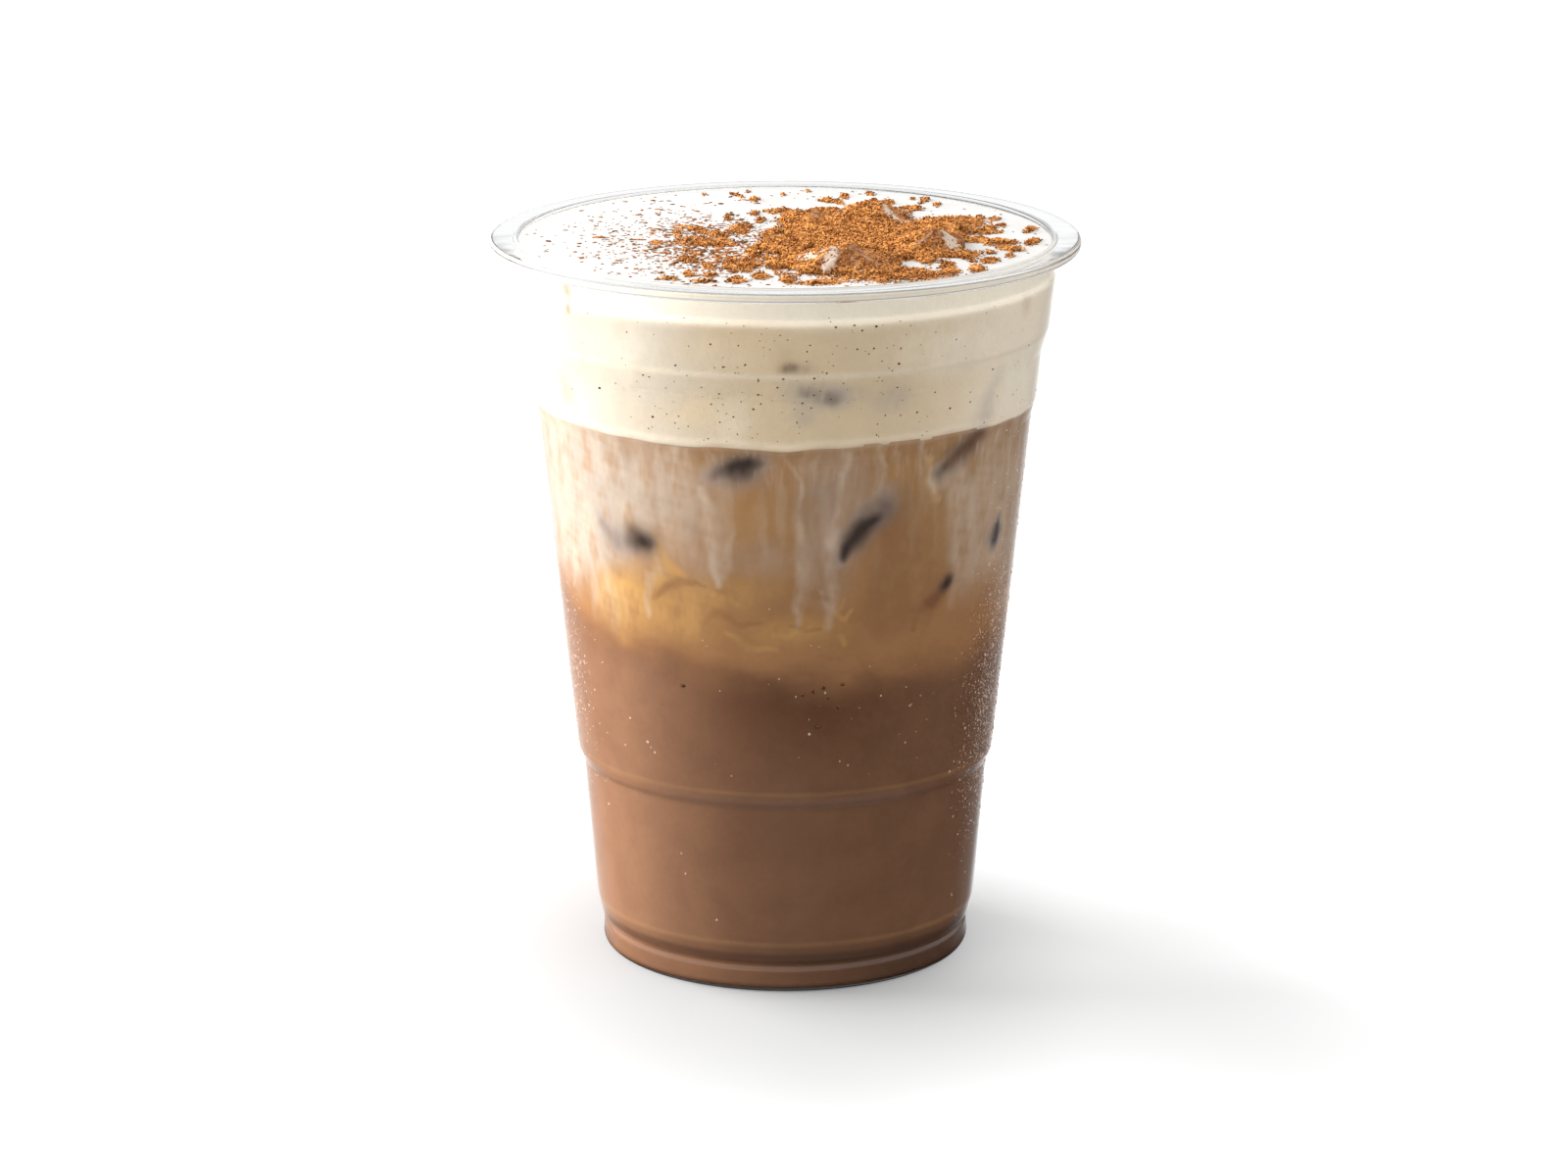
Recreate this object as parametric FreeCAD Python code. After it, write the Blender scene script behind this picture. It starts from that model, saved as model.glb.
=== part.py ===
"""An iced horchata mocha in its clear cup: a thin-walled cup with a rolled lip,
three ledges and a foot ring, filled to the brim with a mocha layer, a horchata
layer and a thick foam cap, with a heap of ground cinnamon on the foam.

Millimetres, +Z up, origin at the bottom centre of the cup.
"""
import FreeCAD, Part
import math
import os
from FreeCAD import Vector

# ---- driving dimensions: the cup -------------------------------------------
CUP_HEIGHT = 122.0            # floor to the top of the lip
LIP_RADIUS = 49.0             # outside of the lip
LIP_THICKNESS = 1.7           # height of the lip's outer edge
WALL = 0.5                    # thickness of the plastic
FOOT_RADIUS = 31.05           # outside of the foot ring
FOOT_HEIGHT = 3.75            # top of the foot ring, where the groove starts
RECESS_RADIUS = 26.0          # flat of the pushed-up base
RECESS_HEIGHT = 2.4           # how far the base is pushed up
NECK_INSET = 0.3              # step in of the neck under the lip
NECK_BOTTOM = 115.7           # height where the neck starts

SHOULDER_RADIUS = 32.1        # where the straight wall starts
SHOULDER_HEIGHT = 8.7
# bands of straight wall, from the shoulder up:
# (taper, height of the band's top, ledge's width, ledge's height, softness of the ledge)
BANDS = (
    (0.084, 32.7, 0.96, 2.2, 1.2),     # below the low ledge
    (0.1045, 92.6, 0.80, 2.9, 2.0),    # tall middle band, up to the ledge at the foam
    (0.096, 103.3, 1.25, 4.1, 2.0),    # short band between the two upper ledges
)
COLLAR_TAPER = 0.108          # wall from the top ledge to the neck

# ---- driving dimensions: what fills the cup --------------------------------
MOCHA_LEVEL = 57.2            # mean height of the mocha's soft top
MOCHA_SWELL = 1.3             # how far its surface rises and falls
FOAM_UNDERSIDE = 95.0         # mean height where the foam starts
FOAM_SWELL = 0.55
FOAM_LEVEL = 121.2            # the foam's top, level with the inside of the lip
FOAM_RELIEF = 0.22            # low swells on the foam's top

# ---- driving dimensions: the heap of cinnamon ------------------------------
HEAP_X, HEAP_Y = 12.5, -4.0   # centre of the heap, off towards the front right
HEAP_HALF_X, HEAP_HALF_Y = 19.5, 29.0
HEAP_THICKNESS = 1.0          # depth of powder in the middle of the heap
HEAP_EDGE = 0.45              # depth at its rim
HEAP_RINGS, HEAP_SPOKES = 13, 52
# peaks of foam under the powder: x, y, height, reach of the gentle side, reach of the steep side,
# and the direction that the steep side faces in degrees from +X
PEAKS = (
    (15.5, 15.5, 2.9, 11.0, 4.5, -25.0),
    (9.5, -26.0, 3.7, 12.0, 5.0, -75.0),
    (24.5, -10.5, 3.0, 10.0, 3.8, -50.0),
    (3.5, 13.0, 1.4, 8.0, 5.0, -60.0),
    (29.0, 4.0, 1.1, 9.0, 6.0, 20.0),
)

REACH = 60.0                  # half the size of the surfaces that cut the layers


# ---- outlines --------------------------------------------------------------
def straight_wall_corners():
    """Corners (radius, height, softness) of the wall from the shoulder to the top of the neck."""
    radius, height = SHOULDER_RADIUS, SHOULDER_HEIGHT
    corners = [(radius, height, 4.0)]
    for taper, band_top, ledge_width, ledge_height, softness in BANDS:
        radius += taper * (band_top - height)
        corners.append((radius, band_top, softness))
        radius += ledge_width
        height = band_top + ledge_height
        corners.append((radius, height, softness))
    radius += COLLAR_TAPER * (NECK_BOTTOM - height)
    corners.append((radius, NECK_BOTTOM, 0.7))
    corners.append((radius - NECK_INSET, NECK_BOTTOM + 1.0, 0.5))
    corners.append((radius - NECK_INSET, CUP_HEIGHT, 0.0))
    return corners


def shell_corners():
    """Corners of the outside of the cup, from the middle of its base to the top of its neck."""
    groove_radius = FOOT_RADIUS - 0.6
    return [
        (0.0, RECESS_HEIGHT, 0.0),
        (RECESS_RADIUS, RECESS_HEIGHT, 1.2),
        (RECESS_RADIUS + 1.7, 0.0, 0.9),
        (FOOT_RADIUS, 0.0, 1.3),
        (FOOT_RADIUS - 0.1, FOOT_HEIGHT, 0.6),
        (groove_radius, FOOT_HEIGHT + 0.8, 0.5),
        (groove_radius + 1.0, FOOT_HEIGHT + 1.9, 1.0),
    ] + straight_wall_corners()


def offset_corners(corners, distance):
    """The same outline moved to the left of its direction by distance."""
    lines = []
    for (r0, z0, _), (r1, z1, _) in zip(corners, corners[1:]):
        run = math.hypot(r1 - r0, z1 - z0)
        nr, nz = -(z1 - z0) / run, (r1 - r0) / run
        lines.append((r0 + nr * distance, z0 + nz * distance, (r1 - r0) / run, (z1 - z0) / run))
    moved = [(lines[0][0], lines[0][1], 0.0)]
    for (ra, za, ua, va), (rb, zb, ub, vb), corner in zip(lines, lines[1:], corners[1:]):
        cross = ua * vb - va * ub
        along = ((rb - ra) * vb - (zb - za) * ub) / cross
        softness = corner[2] - math.copysign(distance, cross)
        moved.append((ra + ua * along, za + va * along, max(softness, 0.25)))
    end_r, end_z, _ = corners[-1]
    moved.append((end_r + lines[-1][0] - corners[-2][0], end_z + lines[-1][1] - corners[-2][1], 0.0))
    return moved


def rounded_edges(corners):
    """Straight edges and tangent arcs through corners, each rounded by its softness."""
    points = [Vector(r, 0.0, z) for r, z, _ in corners]
    edges = []
    last = points[0]
    for before, corner, after, (_, _, softness) in zip(points, points[1:], points[2:], corners[1:]):
        back = (before - corner).normalize()
        ahead = (after - corner).normalize()
        half = 0.5 * back.getAngle(ahead)
        cut = softness / math.tan(half)
        room = 0.49 * min((before - corner).Length, (after - corner).Length)
        radius = softness * min(1.0, room / cut)
        cut = min(cut, room)
        middle = corner + (back + ahead).normalize() * (radius / math.sin(half) - radius)
        start, end = corner + back * cut, corner + ahead * cut
        edges.append(Part.LineSegment(last, start).toShape())
        edges.append(Part.Arc(start, middle, end).toShape())
        last = end
    edges.append(Part.LineSegment(last, points[-1]).toShape())
    return edges


def revolved(edges):
    """Solid of revolution about Z of a closed loop of edges."""
    face = Part.Face(Part.Wire(Part.__sortEdges__(edges)))
    solid = face.revolve(Vector(0, 0, 0), Vector(0, 0, 1), 360)
    return Part.Solid(solid.Shells[0]) if solid.ShapeType != "Solid" else solid


# ---- the cup ---------------------------------------------------------------
def inner_corners():
    """Corners of the inside of the cup, from the middle of its floor to the top of its neck."""
    return offset_corners(shell_corners(), WALL)


def make_cup():
    """Thin shell with its foot ring, three ledges, neck and rolled lip."""
    outside, inside = shell_corners(), inner_corners()
    neck_radius = outside[-1][0]
    mouth_radius = neck_radius - WALL
    lip_bottom = CUP_HEIGHT - LIP_THICKNESS
    lip = [
        (neck_radius, lip_bottom, 0.7),
        (LIP_RADIUS, lip_bottom - 0.15, 0.7),
        (LIP_RADIUS, CUP_HEIGHT - 0.1, 0.75),
        (mouth_radius, CUP_HEIGHT, 0.8),
    ]
    loop = rounded_edges(outside[:-1] + lip + inside[-2::-1])
    axis_bottom, axis_top = Vector(0, 0, outside[0][1]), Vector(0, 0, inside[0][1])
    loop.append(Part.LineSegment(axis_top, axis_bottom).toShape())
    return revolved(loop)


def make_contents():
    """Everything that fills the cup's inside, up to the foam's level and a little over it."""
    inside = inner_corners()
    top = FOAM_LEVEL + 2.0 * FOAM_RELIEF + 0.2
    mouth_radius = inside[-1][0]
    edges = rounded_edges(inside[:-1] + [(mouth_radius, top, 0.0)])
    centre_top, centre_floor = Vector(0, 0, top), Vector(0, 0, inside[0][1])
    edges.append(Part.LineSegment(Vector(mouth_radius, 0, top), centre_top).toShape())
    edges.append(Part.LineSegment(centre_top, centre_floor).toShape())
    return revolved(edges)


# ---- the layers ------------------------------------------------------------
def swell(x, y, turn):
    """Slow uneven wave from -1 to 1 over the cup's width; turn picks another wave."""
    along = math.cos(turn) * x + math.sin(turn) * y
    across = math.cos(turn) * y - math.sin(turn) * x
    return (0.5 * math.sin(along / 17.0 + turn) + 0.3 * math.cos(across / 12.0 - 2.0 * turn)
            + 0.2 * math.sin((along + across) / 9.0))


def below_surface(level, height, turn):
    """Solid from far below up to a wavy surface about level."""
    steps = 13
    grid = []
    for i in range(steps):
        x = REACH * (2.0 * i / (steps - 1) - 1.0)
        row = []
        for j in range(steps):
            y = REACH * (2.0 * j / (steps - 1) - 1.0)
            row.append(Vector(x, y, level + height * swell(x, y, turn)))
        grid.append(row)
    surface = Part.BSplineSurface()
    surface.interpolate(grid)
    return surface.toShape().extrude(Vector(0, 0, -CUP_HEIGHT))


# ---- the cinnamon ----------------------------------------------------------
def heap_outline(angle):
    """Distance of the heap's uneven rim from its centre."""
    oval = 1.0 / math.hypot(math.cos(angle) / HEAP_HALF_X, math.sin(angle) / HEAP_HALF_Y)
    lobes = (0.07 * math.sin(2.0 * angle + 0.6) + 0.06 * math.sin(3.0 * angle + 2.1)
             + 0.05 * math.sin(5.0 * angle + 4.0) + 0.035 * math.sin(9.0 * angle + 1.0)
             + 0.025 * math.sin(14.0 * angle + 2.5))
    return oval * (1.0 + lobes)


def peak_height(x, y, peak):
    """Height that one leaning peak adds at a place."""
    px, py, height, gentle, steep, facing = peak
    away = math.hypot(x - px, y - py)
    if away == 0.0:
        return height
    toward = math.cos(math.atan2(y - py, x - px) - math.radians(facing))
    lean = 0.5 * (1.0 + toward)
    reach = gentle + (steep - gentle) * lean ** 1.5
    return height * max(0.0, 1.0 - away / reach) ** 1.25


def heap_top(x, y, inward):
    """Height of the powder over the foam's level; inward is 0 at the rim and 1 at the centre."""
    powder = HEAP_EDGE + (HEAP_THICKNESS - HEAP_EDGE) * min(1.0, 3.0 * inward)
    ripple = 0.12 * math.sin(x / 1.9 + 0.7 * y) * math.cos(y / 2.3 - 0.4 * x) * min(1.0, 4.0 * inward)
    peaks = max(peak_height(x, y, peak) for peak in PEAKS)
    return powder + ripple + peaks * min(1.0, 5.0 * inward)


def make_heap(foam):
    """Uneven heap of ground cinnamon with its peaks, resting on the foam."""
    bottom = FOAM_LEVEL - 1.0
    rings = []
    for ring in range(1, HEAP_RINGS + 1):
        share = ring / HEAP_RINGS
        row = []
        for spoke in range(HEAP_SPOKES):
            angle = 2.0 * math.pi * (spoke + 0.5 * (ring % 2)) / HEAP_SPOKES
            reach = share * heap_outline(angle)
            x, y = HEAP_X + reach * math.cos(angle), HEAP_Y + reach * math.sin(angle)
            row.append(Vector(x, y, FOAM_LEVEL + heap_top(x, y, 1.0 - share)))
        rings.append(row)
    middle = Vector(HEAP_X, HEAP_Y, FOAM_LEVEL + heap_top(HEAP_X, HEAP_Y, 1.0))
    floor = [Vector(p.x, p.y, bottom) for p in rings[-1]]

    triangles = []
    for k in range(HEAP_SPOKES):
        nxt = (k + 1) % HEAP_SPOKES
        triangles.append((middle, rings[0][k], rings[0][nxt]))
        for number, (inner, outer) in enumerate(zip(rings, rings[1:]), start=1):
            if number % 2:                       # the outer ring lies half a spoke back
                triangles.append((inner[k], outer[k], outer[nxt]))
                triangles.append((inner[k], outer[nxt], inner[nxt]))
            else:
                triangles.append((inner[k], outer[k], inner[nxt]))
                triangles.append((inner[nxt], outer[k], outer[nxt]))
        triangles.append((rings[-1][k], floor[k], rings[-1][nxt]))
        triangles.append((rings[-1][nxt], floor[k], floor[nxt]))
    faces = [Part.Face(Part.makePolygon([a, b, c, a])) for a, b, c in triangles]
    faces.append(Part.Face(Part.makePolygon(floor + [floor[0]])))
    shell = Part.makeShell(faces)
    shell.sewShape()
    block = Part.Solid(shell)
    if block.Volume < 0:
        block.reverse()
    return block.cut(foam)


def only_solid(shape):
    """The largest solid of a result."""
    return max(shape.Solids, key=lambda solid: solid.Volume)


def main():
    """Make the five pieces and write one STEP file for each."""
    os.makedirs("parts", exist_ok=True)
    contents = make_contents()
    under_mocha = below_surface(MOCHA_LEVEL, MOCHA_SWELL, 0.9)
    under_foam = below_surface(FOAM_UNDERSIDE, FOAM_SWELL, 2.3)
    under_top = below_surface(FOAM_LEVEL, FOAM_RELIEF, 4.1)

    drink = only_solid(contents.common(under_foam))
    foam = only_solid(contents.cut(under_foam).common(under_top))
    nodes = {
        "cup": make_cup(),
        "mocha_layer": only_solid(drink.common(under_mocha)),
        "horchata_layer": only_solid(drink.cut(under_mocha)),
        "foam_layer": foam,
        "cinnamon_heap": only_solid(make_heap(foam)),
    }
    for node, shape in nodes.items():
        box = shape.BoundBox
        print(f"{node}: valid {shape.isValid()} solids {len(shape.Solids)} faces {len(shape.Faces)} "
              f"volume {shape.Volume / 1000.0:.2f} cm3 z {box.ZMin:.2f} to {box.ZMax:.2f} "
              f"x {box.XMin:.2f} to {box.XMax:.2f} y {box.YMin:.2f} to {box.YMax:.2f}")
        shape.exportStep(f"parts/{node}.step")


main()
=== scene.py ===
"""Looks of an iced horchata mocha: a clear flared cup, filled to the brim with mocha,
cloudy horchata and thick cream foam, with ground cinnamon heaped on the foam.

The part's own frame is used throughout: +Z up, the cup's foot on z = 0. Places on the
wall are given as an azimuth in degrees, 0 towards the front (-Y) and growing towards
+X, and a height in millimetres. Places on the foam are x and y in millimetres.
"""
import logging
import math
from collections.abc import Callable, Iterable
from dataclasses import dataclass, field, replace
from enum import Enum

import bmesh
import bpy
import numpy as np
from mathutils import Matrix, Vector
from mathutils.bvhtree import BVHTree


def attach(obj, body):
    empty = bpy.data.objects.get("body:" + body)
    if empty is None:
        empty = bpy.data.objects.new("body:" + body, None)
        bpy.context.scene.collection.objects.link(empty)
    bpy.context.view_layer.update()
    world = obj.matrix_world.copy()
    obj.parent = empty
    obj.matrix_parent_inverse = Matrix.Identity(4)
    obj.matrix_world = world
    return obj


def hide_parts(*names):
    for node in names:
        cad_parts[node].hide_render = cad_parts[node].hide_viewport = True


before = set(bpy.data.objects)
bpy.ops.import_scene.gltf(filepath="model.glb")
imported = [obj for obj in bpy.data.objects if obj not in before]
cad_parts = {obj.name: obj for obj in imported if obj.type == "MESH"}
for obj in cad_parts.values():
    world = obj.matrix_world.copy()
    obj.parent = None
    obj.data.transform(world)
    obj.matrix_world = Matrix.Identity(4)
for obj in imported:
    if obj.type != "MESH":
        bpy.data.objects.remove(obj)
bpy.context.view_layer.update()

logging.basicConfig(level=logging.INFO, format="%(message)s")
LOG = logging.getLogger("horchata_mocha")

MM = 0.001
BODY = "root"
BITE = 0.10                   # how far the drink reaches into the cup's wall, in mm
FOAM_LEVEL = 121.2
FOAM_REACH = 43.2             # radius inside which powder lies on the foam
SEAM = 57.2                   # height where the mocha's skin ends
FOAM_EDGE = 95.15             # height of the foam's lower edge
Array = np.ndarray
Color = tuple[float, float, float]
Row = tuple[object, ...]
Inputs = dict[str | int, object]
Profile = list[tuple[float, float]]
Socket = bpy.types.NodeSocket


# --- Small numeric helpers ---
def smooth(value: Array, low: float, high: float) -> Array:
    """Ease from 0 at low to 1 at high, which may also be the lower of the two."""
    share = np.clip((value - low) / (high - low), 0.0, 1.0)
    return share * share * (3.0 - 2.0 * share)


def bell(value: Array, middle: float, width: float) -> Array:
    """Rise from 0 to 1 at the middle and fall again."""
    return np.exp(-((value - middle) / width) ** 2)


def wave(angle: Array, parts: tuple[tuple[float, int, float], ...]) -> Array:
    """Sum of waves round a turn: height, waves a turn and shift in radians of each part."""
    return sum(height * np.sin(turns * angle + shift) for height, turns, shift in parts)


def lumps(x: Array, y: Array, size: float, seed: int) -> Array:
    """Uneven field from -1 to 1, made of crossed waves in seeded directions.

    Args:
        x: first coordinate of the places.
        y: second coordinate of the places.
        size: rough size of a lump, in the same unit.
        seed: which field.

    Returns:
        The field at each place.
    """
    rng = np.random.default_rng(seed)
    total = np.zeros_like(x)
    for octave in range(3):
        for _ in range(5):
            angle, shift = rng.uniform(0.0, 2.0 * math.pi, 2)
            turn = math.pi / (size * rng.uniform(0.7, 1.5) * 0.5 ** octave)
            total += 0.55 ** octave * np.sin(turn * (x * math.cos(angle) + y * math.sin(angle)) + shift)
    return np.clip(total / 4.0, -1.0, 1.0)


def wall_lumps(azimuth: Array, height: Array, size: float, seed: int) -> Array:
    """Uneven field from -1 to 1 on the wall that meets itself at the back.

    Args:
        azimuth: azimuth of the places in radians.
        height: their height in mm.
        size: rough size of a lump in mm.
        seed: which field.

    Returns:
        The field at each place.
    """
    behind = smooth(np.abs(azimuth), 2.2, 2.8)
    ahead = lumps(azimuth * ROUND, height, size, seed)
    return ahead + behind * (lumps(np.mod(azimuth, 2.0 * math.pi) * ROUND, height, size, seed) - ahead)


def wrapped(angle: Array) -> Array:
    """An angle in radians brought to within half a turn of 0."""
    return (angle + math.pi) % (2.0 * math.pi) - math.pi


def mocha_line(azimuth: Array) -> Array:
    """Height in mm of the soft line between the mocha and the horchata."""
    curl = 4.5 * bell(wrapped(azimuth + math.radians(76.0)), 0.0, 0.15)
    return 57.9 + wave(azimuth, ((-1.8, 1, 0.0), (1.25, 2, -2.06), (0.25, 7, 1.0), (0.2, 11, 2.0))) + curl


def foam_line(azimuth: Array) -> Array:
    """Height in mm of the foam's lower edge on the wall."""
    ripples = wave(azimuth, ((0.16, 3, 0.5), (0.12, 8, 2.0), (0.07, 19, 0.3), (0.05, 33, 4.0)))
    return FOAM_EDGE + ripples - 0.65 * bell(wrapped(azimuth), 0.0, 0.12)


def foam_top(x: Array, y: Array) -> Array:
    """Height in mm of the foam's top."""
    rim = smooth(np.hypot(x, y), 38.0, 43.6)
    return FOAM_LEVEL + (0.13 * lumps(x, y, 13.0, 5) + 0.06 * lumps(x, y, 5.0, 6)) * (1.0 - rim) - 0.1 * rim


def oval(dx: Array, dy: Array, half_x: float, half_y: float, turn: float) -> Array:
    """Distance from a turned oval's middle, 1 on its edge. The turn is in degrees."""
    cos, sin = math.cos(math.radians(turn)), math.sin(math.radians(turn))
    return np.hypot((dx * cos + dy * sin) / half_x, (-dx * sin + dy * cos) / half_y)


# --- The cup's wall ---
class CupWall:
    """Radii of the cup's inside and outside in mm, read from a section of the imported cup."""

    def __init__(self, cup: bpy.types.Object) -> None:
        """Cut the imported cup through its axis.

        Args:
            cup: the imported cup.
        """
        bm = bmesh.new()
        bm.from_mesh(cup.data)
        bmesh.ops.remove_doubles(bm, verts=bm.verts, dist=1e-6)
        cut = bmesh.ops.bisect_plane(bm, geom=bm.verts[:] + bm.edges[:] + bm.faces[:], dist=1e-7,
                                     plane_co=(0, 0, 0), plane_no=(0, 1, 0))
        edges = [e for e in cut["geom_cut"] if isinstance(e, bmesh.types.BMEdge)]
        ends = np.array([[(v.co.x / MM, v.co.z / MM) for v in e.verts] for e in edges])
        bm.free()
        self.ends = ends[ends[:, :, 0].max(axis=1) > 1e-6]
        self.heights = np.arange(0.6, 121.0, 0.1)
        self.inside, self.outside = np.array([self.crossings(z, 1)[-2:] for z in self.heights]).T
        neck = self.heights > 119.9
        self.inside[neck] = self.inside[~neck][-1]

    def crossings(self, place: float, axis: int) -> Array:
        """Where a level (axis 1) or upright (axis 0) line meets the section, in order.

        Args:
            place: the line's height or radius in mm.
            axis: 1 for a level line, 0 for an upright one.

        Returns:
            The other coordinate of each crossing in mm, smallest first.
        """
        low, high = self.ends[:, :, axis].min(axis=1), self.ends[:, :, axis].max(axis=1)
        span = self.ends[(low <= place) & (high > place)]
        share = (place - span[:, 0, axis]) / (span[:, 1, axis] - span[:, 0, axis])
        other = 1 - axis
        return np.sort(span[:, 0, other] + share * (span[:, 1, other] - span[:, 0, other]))

    def outline(self) -> Profile:
        """The section in order, from the axis under the floor over the lip to the axis inside.

        Returns:
            Radius and height in mm of each point.
        """
        links: dict[tuple[float, float], Profile] = {}
        for pair in np.round(np.maximum(self.ends, (0.0, -9.0)), 3).tolist():
            a, b = (tuple(end) for end in pair)
            if a != b:
                links.setdefault(a, []).append(b)
                links.setdefault(b, []).append(a)
        walk = [min((p for p in links if p[0] == 0.0), key=lambda p: p[1])]
        while ahead := [p for p in links[walk[-1]] if p not in walk]:
            walk.append(ahead[0])
        return walk

    def inner(self, height: Array) -> Array:
        """Radius of the inside at each height."""
        return np.interp(height, self.heights, self.inside)

    def outer(self, height: Array) -> Array:
        """Radius of the outside at each height."""
        return np.interp(height, self.heights, self.outside)

    def lift(self, height: Array) -> Array:
        """Painted light: how much paler the drink and foam are painted where the wall faces down, as light
        bounced from the floor, as a factor.
        """
        slope = (self.inner(height + 0.15) - self.inner(height - 0.15)) / 0.3
        return 1.0 + 0.9 * np.clip(slope / np.hypot(1.0, slope) - 0.12, 0.0, 0.6)

    def floor(self, radius: float) -> float:
        """Height of the cup's floor inside at a radius."""
        return float(self.crossings(radius, 0)[1])


WALL = CupWall(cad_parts["cup"])
ROUND = float(WALL.inner(np.array([78.0]))[0])      # radius that turns azimuths into mm round the wall


# --- Node trees ---
class Graph:
    """A node tree, with short calls for the nodes that these finishes use."""

    def __init__(self, tree: bpy.types.NodeTree) -> None:
        """Start on an empty tree."""
        self.tree = tree
        self.output: bpy.types.Node | None = None      # a material's output
        tree.nodes.clear()

    def node(self, kind: str, inputs: Inputs | None = None, **settings: object) -> bpy.types.Node:
        """Add a node of a kind, set its properties and feed its inputs.

        Args:
            kind: the node's type, without its usual prefix.
            inputs: what its inputs are fed.
            **settings: its properties.

        Returns:
            The node.
        """
        made = self.tree.nodes.new(kind if kind.startswith("NodeGroup") else "ShaderNode" + kind)
        for name, value in settings.items():
            setattr(made, name, value)
        self.feed(made, inputs or {})
        return made

    def feed(self, node: bpy.types.Node, inputs: Inputs) -> None:
        """Link outputs to a node's inputs, or set the inputs' own values.

        Args:
            node: the node.
            inputs: an output or a value for each input, by name or number.
        """
        for key, value in inputs.items():
            socket = node.inputs[key]
            if isinstance(value, Socket):
                self.tree.links.new(value, socket)
            elif value is not None:
                socket.default_value = (*value, 1.0) if socket.type == "RGBA" else value

    def place(self, stretch: Color = (1.0, 1.0, 1.0)) -> Socket:
        """Object coordinates, stretched."""
        here = self.node("TexCoord").outputs["Object"]
        return self.node("Mapping", {"Vector": here, "Scale": stretch}).outputs["Vector"]

    def noise(self, vector: Socket, size: float, detail: float = 3.0, roughness: float = 0.5,
              warp: float = 0.0) -> Socket:
        """Noise from 0 to 1 with features of about a size in metres."""
        return self.node("TexNoise", {"Vector": vector, "Scale": 1.0 / size, "Detail": detail,
                                      "Roughness": roughness, "Distortion": warp}).outputs["Fac"]

    def cells(self, vector: Socket, size: float) -> Socket:
        """Distance to the nearest of scattered points that lie about a size apart."""
        return self.node("TexVoronoi", {"Vector": vector, "Scale": 1.0 / size}).outputs["Distance"]

    def math(self, operation: str, first: object, *others: object) -> Socket:
        """An arithmetic step with each further value in turn.

        Args:
            operation: the operation's name.
            first: the first value.
            *others: the further values.

        Returns:
            The result.
        """
        for other in others:
            first = self.node("Math", {0: first, 1: other}, operation=operation).outputs[0]
        return first

    def remap(self, value: object, low: float, high: float, out_low: float = 0.0,
              out_high: float = 1.0) -> Socket:
        """Ease a value from one range to another."""
        inputs = {"Value": value, "From Min": low, "From Max": high, "To Min": out_low, "To Max": out_high}
        return self.node("MapRange", inputs, interpolation_type="SMOOTHSTEP").outputs["Result"]

    def mix(self, factor: object, a: object, b: object, blend: str = "MIX") -> Socket:
        """Mix two colours."""
        return self.node("Mix", {"Factor": factor, 6: a, 7: b}, data_type="RGBA", blend_type=blend).outputs[2]

    def mix_shaders(self, factor: object, a: Socket, b: Socket) -> Socket:
        """Mix two shaders."""
        return self.node("MixShader", {0: factor, 1: a, 2: b}).outputs["Shader"]

    def attribute(self, name: str, output: str = "Fac") -> Socket:
        """A value or colour that a mesh carries at its points."""
        return self.node("Attribute", attribute_name=name).outputs[output]

    def bump(self, height: object, depth: float, strength: float = 1.0, normal: object = None) -> Socket:
        """Normal bent by a height from 0 to 1 that stands for a depth in metres."""
        inputs = {"Strength": strength, "Distance": depth, "Height": height, "Normal": normal}
        return self.node("Bump", inputs).outputs["Normal"]

    def split(self, vector: Socket) -> dict[str, Socket]:
        """The parts of a vector by their letters."""
        outputs = self.node("SeparateXYZ", {0: vector}).outputs
        return {axis: outputs[axis] for axis in "XYZ"}

    @classmethod
    def surface(cls, name: str) -> tuple[bpy.types.Material, "Graph", bpy.types.Node]:
        """A new material, its graph and its one Principled shader.

        Args:
            name: the material's name.

        Returns:
            The material, its graph and its shader.
        """
        material = bpy.data.materials.new(name)
        material.use_nodes = True
        graph = cls(material.node_tree)
        shader = graph.node("BsdfPrincipled")
        graph.output = graph.node("OutputMaterial", {"Surface": shader.outputs["BSDF"]})
        return material, graph, shader

    def let_light_in(self, shader: bpy.types.Node) -> None:
        """Let light from lamps and pale surfaces through a clear piece to what it shuts in.

        Args:
            shader: the piece's shader.
        """
        paths = self.node("LightPath").outputs
        shown = shader.outputs["BSDF"]
        for ray in ("Is Shadow Ray", "Is Diffuse Ray"):
            shown = self.mix_shaders(paths[ray], shown, self.node("BsdfTransparent").outputs["BSDF"])
        self.feed(self.output, {"Surface": shown})


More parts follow.
